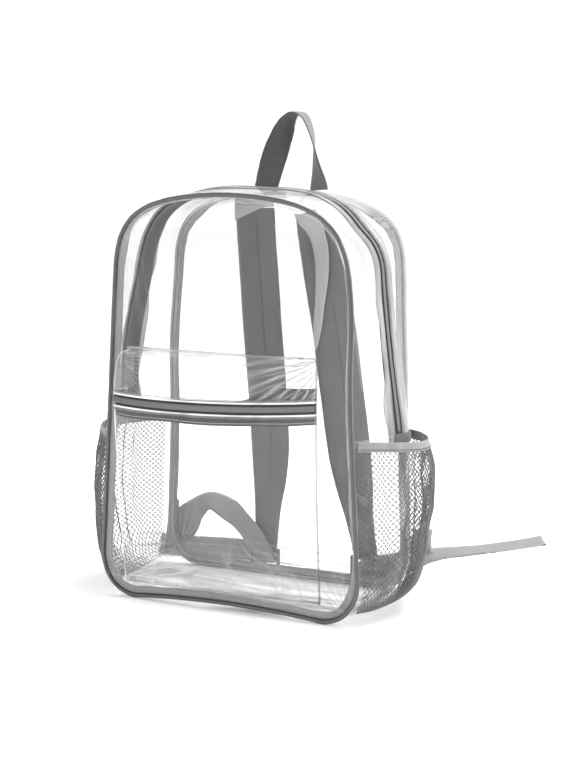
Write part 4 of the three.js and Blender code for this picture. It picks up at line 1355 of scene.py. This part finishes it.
# %% Ribbon
def ribbon(name, rows, thickness, kind, nodes=(), steps=10, around=20, end_slant=0.0):
    """Each row gives a point, the way the width runs there and the width, in millimetres."""
    last = len(rows) - 1
    table = [[row["at"][k] for row in rows] for k in range(3)]
    ways = [[row["wide"][k] for row in rows] for k in range(3)]
    widths = [row["width"] for row in rows]

    def centre(at):
        return Vector([through(line, at) for line in table])

    def frame_at(at):
        along = (centre(min(at + 0.02, last)) - centre(max(at - 0.02, 0))).normalized()
        across = Vector([through(line, at) for line in ways])
        across = (across - along * across.dot(along)).normalized()
        return along, across, along.cross(across)

    length = sum((centre((k + 1) / 20) - centre(k / 20)).length for k in range(20 * last))

    def place(u, v):
        at = u * last
        along, across, out = frame_at(at)
        half = through(widths, at) / 2
        wide = 1 - 4 * v if v < 0.5 else 4 * v - 3
        deep = (1 - min(1.0, abs(wide)) ** 8) ** 0.5 * (1 if v < 0.5 else -1)
        edge = 0.3 * ripple(at * 30, v * 5, half, 9) * abs(wide)
        point = centre(at) + across * (wide * (half + edge)) + out * (deep * thickness / 2)
        return point + along * (end_slant * wide * smooth(last - 0.3, last, at))

    def surface(at, wide, lift):
        along, across, out = frame_at(at)
        return centre(at) + across * (wide * through(widths, at) / 2) + out * (thickness / 2 + lift)

    form = bent_grid(last * steps, around, place, (length, 2 * widths[0]), joined=True)
    bmesh.ops.holes_fill(form, edges=[edge for edge in form.edges if edge.is_boundary], sides=0)
    bmesh.ops.recalc_face_normals(form, faces=form.faces)
    print(f"{name}: {length:.0f} mm long")
    return new_piece(name, form, kind, nodes), surface


# %% [markdown]
# ## Grab loop
# A length of webbing stands up from the back seam and makes a half turn on its way over. One face of it is
# darkened by painted shade, which lightens towards the right as painted light, so it looks dark on its inner
# side on the left leg and paler on its outer side over the top and on the right leg.

# %% Grab loop
back_seam = bag_depth / 2
handle_low, handle_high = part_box("handle")
handle_width = 27.0
handle_base = handle_low.z / MM - 1.5
handle_rise = handle_high.z / MM - handle_base - 1
handle_left, handle_right = -26.0, 37.0
handle_rows = [
    {"across": 0.0, "up": 0.0, "turn": 0},
    {"across": 0.04, "up": 0.12, "turn": 5},
    {"across": 0.14, "up": 0.38, "turn": 20},
    {"across": 0.29, "up": 0.68, "turn": 46},
    {"across": 0.42, "up": 0.9, "turn": 72},
    {"across": 0.57, "up": 0.99, "turn": 86},
    {"across": 0.74, "up": 0.92, "turn": 95},
    {"across": 0.87, "up": 0.68, "turn": 105},
    {"across": 0.93, "up": 0.38, "turn": 126},
    {"across": 0.985, "up": 0.12, "turn": 150},
    {"across": 1.0, "up": 0.0, "turn": 160},
]


def handle_row(row):
    turn = math.radians(row["turn"])
    x = mix(handle_left, handle_right, row["across"])
    return {
        "at": (x, back_seam, handle_base + row["up"] * handle_rise),
        "wide": (math.cos(turn), math.sin(turn), 0),
        "width": handle_width,
    }


ribbon(
    "grab_loop", [handle_row(row) for row in handle_rows], 2.0, "webbing", ["handle"],
    steps=14, around=24,
)

# %% [markdown]
# ## Shoulder straps
# Each strap is a folded strip of cloth, stitched down its middle. It leaves the back seam under the arch and
# hangs a little off the back panel. The right one turns on its way down to face the camera. Both narrow to
# their buckles.

# %% Shoulder straps
strap_thickness = 3.6
setbacks = {-1: 12.0, 1: 24.0}
strap_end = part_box("buckle_left")[1].z / MM + 0.3
left_strap = [
    {"z": 408, "x": -41.0, "y": 76.6, "turn": 0, "width": 47},
    {"z": 386, "x": -40.3, "y": 77.8, "turn": 0, "width": 47},
    {"z": 365, "x": -39.5, "y": 79.2, "turn": 0, "width": 47},
    {"z": 322, "x": -37.5, "y": 82.5, "turn": 0, "width": 47.5},
    {"z": 278, "x": -36.0, "y": 86.0, "turn": 0, "width": 48},
    {"z": 213, "x": -32.0, "y": 90.0, "turn": 0, "width": 47.5},
    {"z": 149, "x": -28.3, "y": 91.5, "turn": 0, "width": 47},
    {"z": 110, "x": -27.5, "y": 90.0, "turn": 0, "width": 42},
    {"z": 75, "x": -28.5, "y": 87.5, "turn": 0, "width": 33},
    {"z": 45, "x": -29.0, "y": 85.5, "turn": 0, "width": 29},
    {"z": strap_end, "x": -30.0, "y": 84.5, "turn": 0, "width": 29},
]
right_strap = [
    {"z": 404, "x": 19.0, "y": 76.8, "turn": 0, "width": 24},
    {"z": 386, "x": 26.5, "y": 78.8, "turn": 3, "width": 36},
    {"z": 365, "x": 33.5, "y": 81.5, "turn": 8, "width": 43},
    {"z": 322, "x": 42.2, "y": 86.0, "turn": 16, "width": 47},
    {"z": 278, "x": 49.1, "y": 89.5, "turn": 22, "width": 47.5},
    {"z": 213, "x": 57.5, "y": 92.0, "turn": 25, "width": 47.5},
    {"z": 149, "x": 66.4, "y": 93.5, "turn": 25, "width": 47},
    {"z": 110, "x": 72.5, "y": 94.5, "turn": 20, "width": 42},
    {"z": 75, "x": 78.5, "y": 95.5, "turn": 12, "width": 33},
    {"z": 45, "x": 84.0, "y": 96.3, "turn": 4, "width": 29},
    {"z": strap_end, "x": 87.0, "y": 96.5, "turn": 0, "width": 29},
]


def strap_row(row):
    turn = math.radians(row["turn"])
    wide = (math.cos(turn), math.sin(turn), 0)
    return {"at": (row["x"], row["y"], row["z"]), "wide": wide, "width": row["width"]}


straps = [
    {"name": "left", "side": -1, "end": -30.0, "rows": left_strap, "stitch": 0.1, "stitch_to": (0.5, 6.4)},
    {"name": "right", "side": 1, "end": 87.0, "rows": right_strap, "stitch": 0.12, "stitch_to": (3.4, 8.6)},
]
for strap in straps:
    word = strap["name"]
    rows = [strap_row(row) for row in strap["rows"]]
    piece, surface = ribbon(
        f"shoulder_strap_{word}_cloth", rows, strap_thickness, "strap",
        [f"shoulder_strap_{word}"], steps=12, around=24,
    )
    low, high = strap["stitch_to"]
    stitches(
        f"strap_stitches_{word}",
        lambda share: surface(mix(low, high, share), strap["stitch"], 0.15),
        pitch=3.4, radius=0.42,
    )

# %% [markdown]
# ## Strap patch and painted crescent highlight
# The left strap's end is sewn under a pale patch with a slanting edge. On the right strap a pale crescent
# that ends in a point is painted on a fold of the strap as a highlight, where the fold catches the light.
# Each is a small grid whose edges run through a few heights or widths.

# %% Strap patch and painted crescent highlight
def patch_point(u, v):
    x = mix(-64.0, -17.0, u)
    low = through([394.0, 399.0, 404.5, 409.0, 410.0], u * 4)
    return Vector((x, 74.2 - 0.5 * math.sin(math.pi * v), mix(low, 418.0 - 2.5 * u, v)))


form = bent_grid(30, 12, patch_point, (47, 18))
new_piece("strap_top_patch", form, "pale_strap", thickness=0.8)

# A pale crescent painted on the right strap as the highlight of a fold.
crescent = [
    {"z": 403, "left": 8.0, "right": 30.0},
    {"z": 392, "left": 12.8, "right": 41.0},
    {"z": 383, "left": 22.0, "right": 43.4},
    {"z": 370, "left": 28.2, "right": 46.4},
    {"z": 352, "left": 31.4, "right": 47.6},
    {"z": 330, "left": 32.1, "right": 46.2},
    {"z": 306, "left": 31.0, "right": 42.2},
    {"z": 284, "left": 29.4, "right": 39.4},
    {"z": 266, "left": 30.0, "right": 35.6},
    {"z": 256, "left": 31.5, "right": 32.3},
]


def crescent_point(u, v):
    at = u * (len(crescent) - 1)
    left, right = (through([row[key] for row in crescent], at) for key in ("left", "right"))
    z = through([row["z"] for row in crescent], at)
    roll = 1.1 * math.sin(math.pi * v) ** 0.6
    y = through([74.4, 75.6, 76.6, 77.4, 78.2, 79.0, 80.0, 80.6, 80.8, 80.8], at) - 1.6
    return Vector((mix(left, right, v), y - roll, z))


form = bent_grid(60, 12, crescent_point, (150, 16))
new_piece("strap_crescent_painted_highlight", form, "pale_strap", thickness=0.8)

# %% [markdown]
# ## Ladder-lock buckles
# A buckle is one moulded plate with two slots and rounded edges. The strap's end is sewn round its top bar,
# and the webbing passes up through the low slot.

# %% Buckles
def buckle_piece(name, x, y):
    width, height, thick, bar, slot_height = 36.0, 23.0, 4.0, 4.0, 6.0
    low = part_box(name)[0].z / MM
    columns = [-width / 2, -width / 2 + bar, width / 2 - bar, width / 2]
    rows = [0, bar, bar + slot_height, height - bar - slot_height, height - bar, height]
    form = bmesh.new()
    bmesh.ops.create_grid(form, x_segments=3, y_segments=5, size=0.5)
    for vert in form.verts:
        i, j = round((vert.co.x + 0.5) * 3), round((vert.co.y + 0.5) * 5)
        vert.co = Vector((x + columns[i], y - thick / 2, low + rows[j])) * MM
    slots = []
    for face in form.faces:
        middle = face.calc_center_median() / MM
        up, down = middle.z - low, low + height - middle.z
        in_slot = bar < up < bar + slot_height or bar < down < bar + slot_height
        if abs(middle.x - x) < width / 2 - bar and in_slot:
            slots.append(face)
    bmesh.ops.delete(form, geom=slots, context="FACES")
    made = bmesh.ops.extrude_face_region(form, geom=form.faces[:])
    moved = [item for item in made["geom"] if isinstance(item, bmesh.types.BMVert)]
    bmesh.ops.translate(form, verts=moved, vec=Vector((0, thick, 0)) * MM)
    bmesh.ops.recalc_face_normals(form, faces=form.faces)
    edges = [edge for edge in form.edges if edge.calc_face_angle(0) > 0.5]
    bmesh.ops.bevel(
        form, geom=edges, offset=1.1 * MM, offset_type="OFFSET", segments=3, profile=0.5,
        affect="EDGES", material=-1,
    )
    return new_piece(name + "_moulding", form, "plastic", [name])


for strap in straps:
    buckle_piece(f"buckle_{strap['name']}", strap["end"], back_seam + setbacks[strap["side"]])

# %% [markdown]
# ## Low webbing
# Webbing is sewn into each low back corner, turns back in a loop, goes through the buckle and ends in a loose
# tail. Beside is measured from the seam or from the middle of the buckle, behind from the back seam or from
# the near or far face of the buckle, and up from the floor.

# %% Low webbing
left_webbing = [
    {"beside": ("seam", -1), "behind": ("seam", 1.5), "up": 46, "wide": (0, 0, 1), "width": 64},
    {"beside": ("seam", 8), "behind": ("seam", 4), "up": 45, "wide": (-0.1, 0, 1), "width": 58},
    {"beside": ("seam", 18), "behind": ("seam", 7), "up": 47, "wide": (-0.55, 0, 0.8), "width": 40},
    {"beside": ("seam", 31), "behind": ("seam", 10), "up": 62, "wide": (-0.65, 0, 0.75), "width": 26},
    {"beside": ("seam", 50), "behind": ("seam", 10.5), "up": 74, "wide": (-0.1, 0.4, 1), "width": 21},
    {"beside": ("seam", 74), "behind": ("seam", 10), "up": 66, "wide": (0.3, 0.3, 1), "width": 26},
    {"beside": ("buckle", -29), "behind": ("near", -2.6), "up": 56, "wide": (0.6, 0, 1)},
    {"beside": ("buckle", -12), "behind": ("near", -3.4), "up": 39, "wide": (0.8, 0, 0.7)},
    {"beside": ("buckle", -1), "behind": ("near", -3.2), "up": 23, "wide": (1, 0, 0.1)},
    {"beside": ("buckle", 0), "behind": ("near", -1.6), "up": 12.4, "wide": (1, 0, 0)},
    {"beside": ("buckle", 0), "behind": ("far", 1), "up": 11, "wide": (1, 0, 0)},
    {"beside": ("buckle", -1), "behind": ("far", 8), "up": 12.5, "wide": (0.7, 0, 0.7)},
    {"beside": ("buckle", -6), "behind": ("far", 16), "up": 13.6, "wide": (0.15, 0, 1)},
    {"beside": ("buckle", -20), "behind": ("far", 20), "up": 14.4, "wide": (0, 0, 1)},
    {"beside": ("buckle", -46), "behind": ("far", 18), "up": 15, "wide": (0, 0, 1)},
    {"beside": ("buckle", -82), "behind": ("far", 13), "up": 13.6, "wide": (0, 0.2, 1)},
    {"beside": ("buckle", -116), "behind": ("far", 10), "up": 13, "wide": (0, 0.3, 1)},
    {"beside": ("buckle", -142), "behind": ("far", 9), "up": 12.8, "wide": (0, 0.4, 1)},
]
right_webbing = [
    {"beside": ("seam", 1.6), "behind": ("seam", 0.5), "up": 58, "wide": (0, 0, 1)},
    {"beside": ("seam", 10), "behind": ("seam", 1.5), "up": 58, "wide": (0, 0, 1)},
    {"beside": ("seam", 19), "behind": ("seam", 7), "up": 58, "wide": (0, 0, 1)},
    {"beside": ("seam", 14), "behind": ("seam", 13), "up": 54, "wide": (-0.2, 0, 1)},
    {"beside": ("seam", 0), "behind": ("seam", 13.5), "up": 42, "wide": (-0.6, 0, 0.9)},
    {"beside": ("seam", -16), "behind": ("seam", 12), "up": 27, "wide": (-0.6, 0, 0.9)},
    {"beside": ("buckle", 30), "behind": ("near", -11), "up": 16.5, "wide": (-0.3, 0, 1)},
    {"beside": ("buckle", 12), "behind": ("near", -12), "up": 14, "wide": (0, 0, 1)},
    {"beside": ("buckle", 2), "behind": ("near", -9), "up": 13.5, "wide": (0.4, 0, 1)},
    {"beside": ("buckle", 0), "behind": ("near", -4.5), "up": 11.4, "wide": (1, 0, 0.2)},
    {"beside": ("buckle", 0), "behind": ("near", -1.5), "up": 11, "wide": (1, 0, 0)},
    {"beside": ("buckle", 0), "behind": ("far", 0.6), "up": 11, "wide": (1, 0, 0)},
    {"beside": ("buckle", 1), "behind": ("far", 6), "up": 12.5, "wide": (0.7, 0, -0.7)},
    {"beside": ("buckle", 8), "behind": ("far", 11), "up": 14, "wide": (0.1, 0, -1)},
    {"beside": ("buckle", 28), "behind": ("far", 11), "up": 18, "wide": (0.3, -0.2, -1)},
    {"beside": ("buckle", 50), "behind": ("far", 12), "up": 26, "wide": (0.4, -0.6, -0.8)},
    {"beside": ("buckle", 76), "behind": ("far", 18), "up": 34, "wide": (0.1, -0.9, -0.4)},
    {"beside": ("buckle", 112), "behind": ("far", 22), "up": 41, "wide": (0, -1, -0.28)},
    {"beside": ("buckle", 154), "behind": ("far", 22), "up": 51, "wide": (0, -1, -0.28)},
    {"beside": ("buckle", 194), "behind": ("far", 22), "up": 62, "wide": (0, -1, -0.32)},
]
webbing_width = 25.0
webbings = [
    {"strap": straps[0], "rows": left_webbing, "slant": 0.0, "finish": "low_webbing"},
    {"strap": straps[1], "rows": right_webbing, "slant": 6.0, "finish": "tail"},
]
for webbing in webbings:
    strap = webbing["strap"]
    side = strap["side"]
    beside = {"seam": side * bottom_width / 2, "buckle": strap["end"]}
    behind = {"seam": 0.0, "near": setbacks[side] - 2.0, "far": setbacks[side] + 2.0}
    route = [
        {
            "at": (beside[row["beside"][0]] + row["beside"][1],
                   back_seam + behind[row["behind"][0]] + row["behind"][1], row["up"]),
            "wide": row["wide"],
            "width": row.get("width", webbing_width),
        }
        for row in webbing["rows"]
    ]
    ribbon(
        f"lower_webbing_{strap['name']}_weave", route, 1.6, webbing["finish"],
        [f"lower_webbing_{strap['name']}"], steps=8, around=16, end_slant=webbing["slant"],
    )
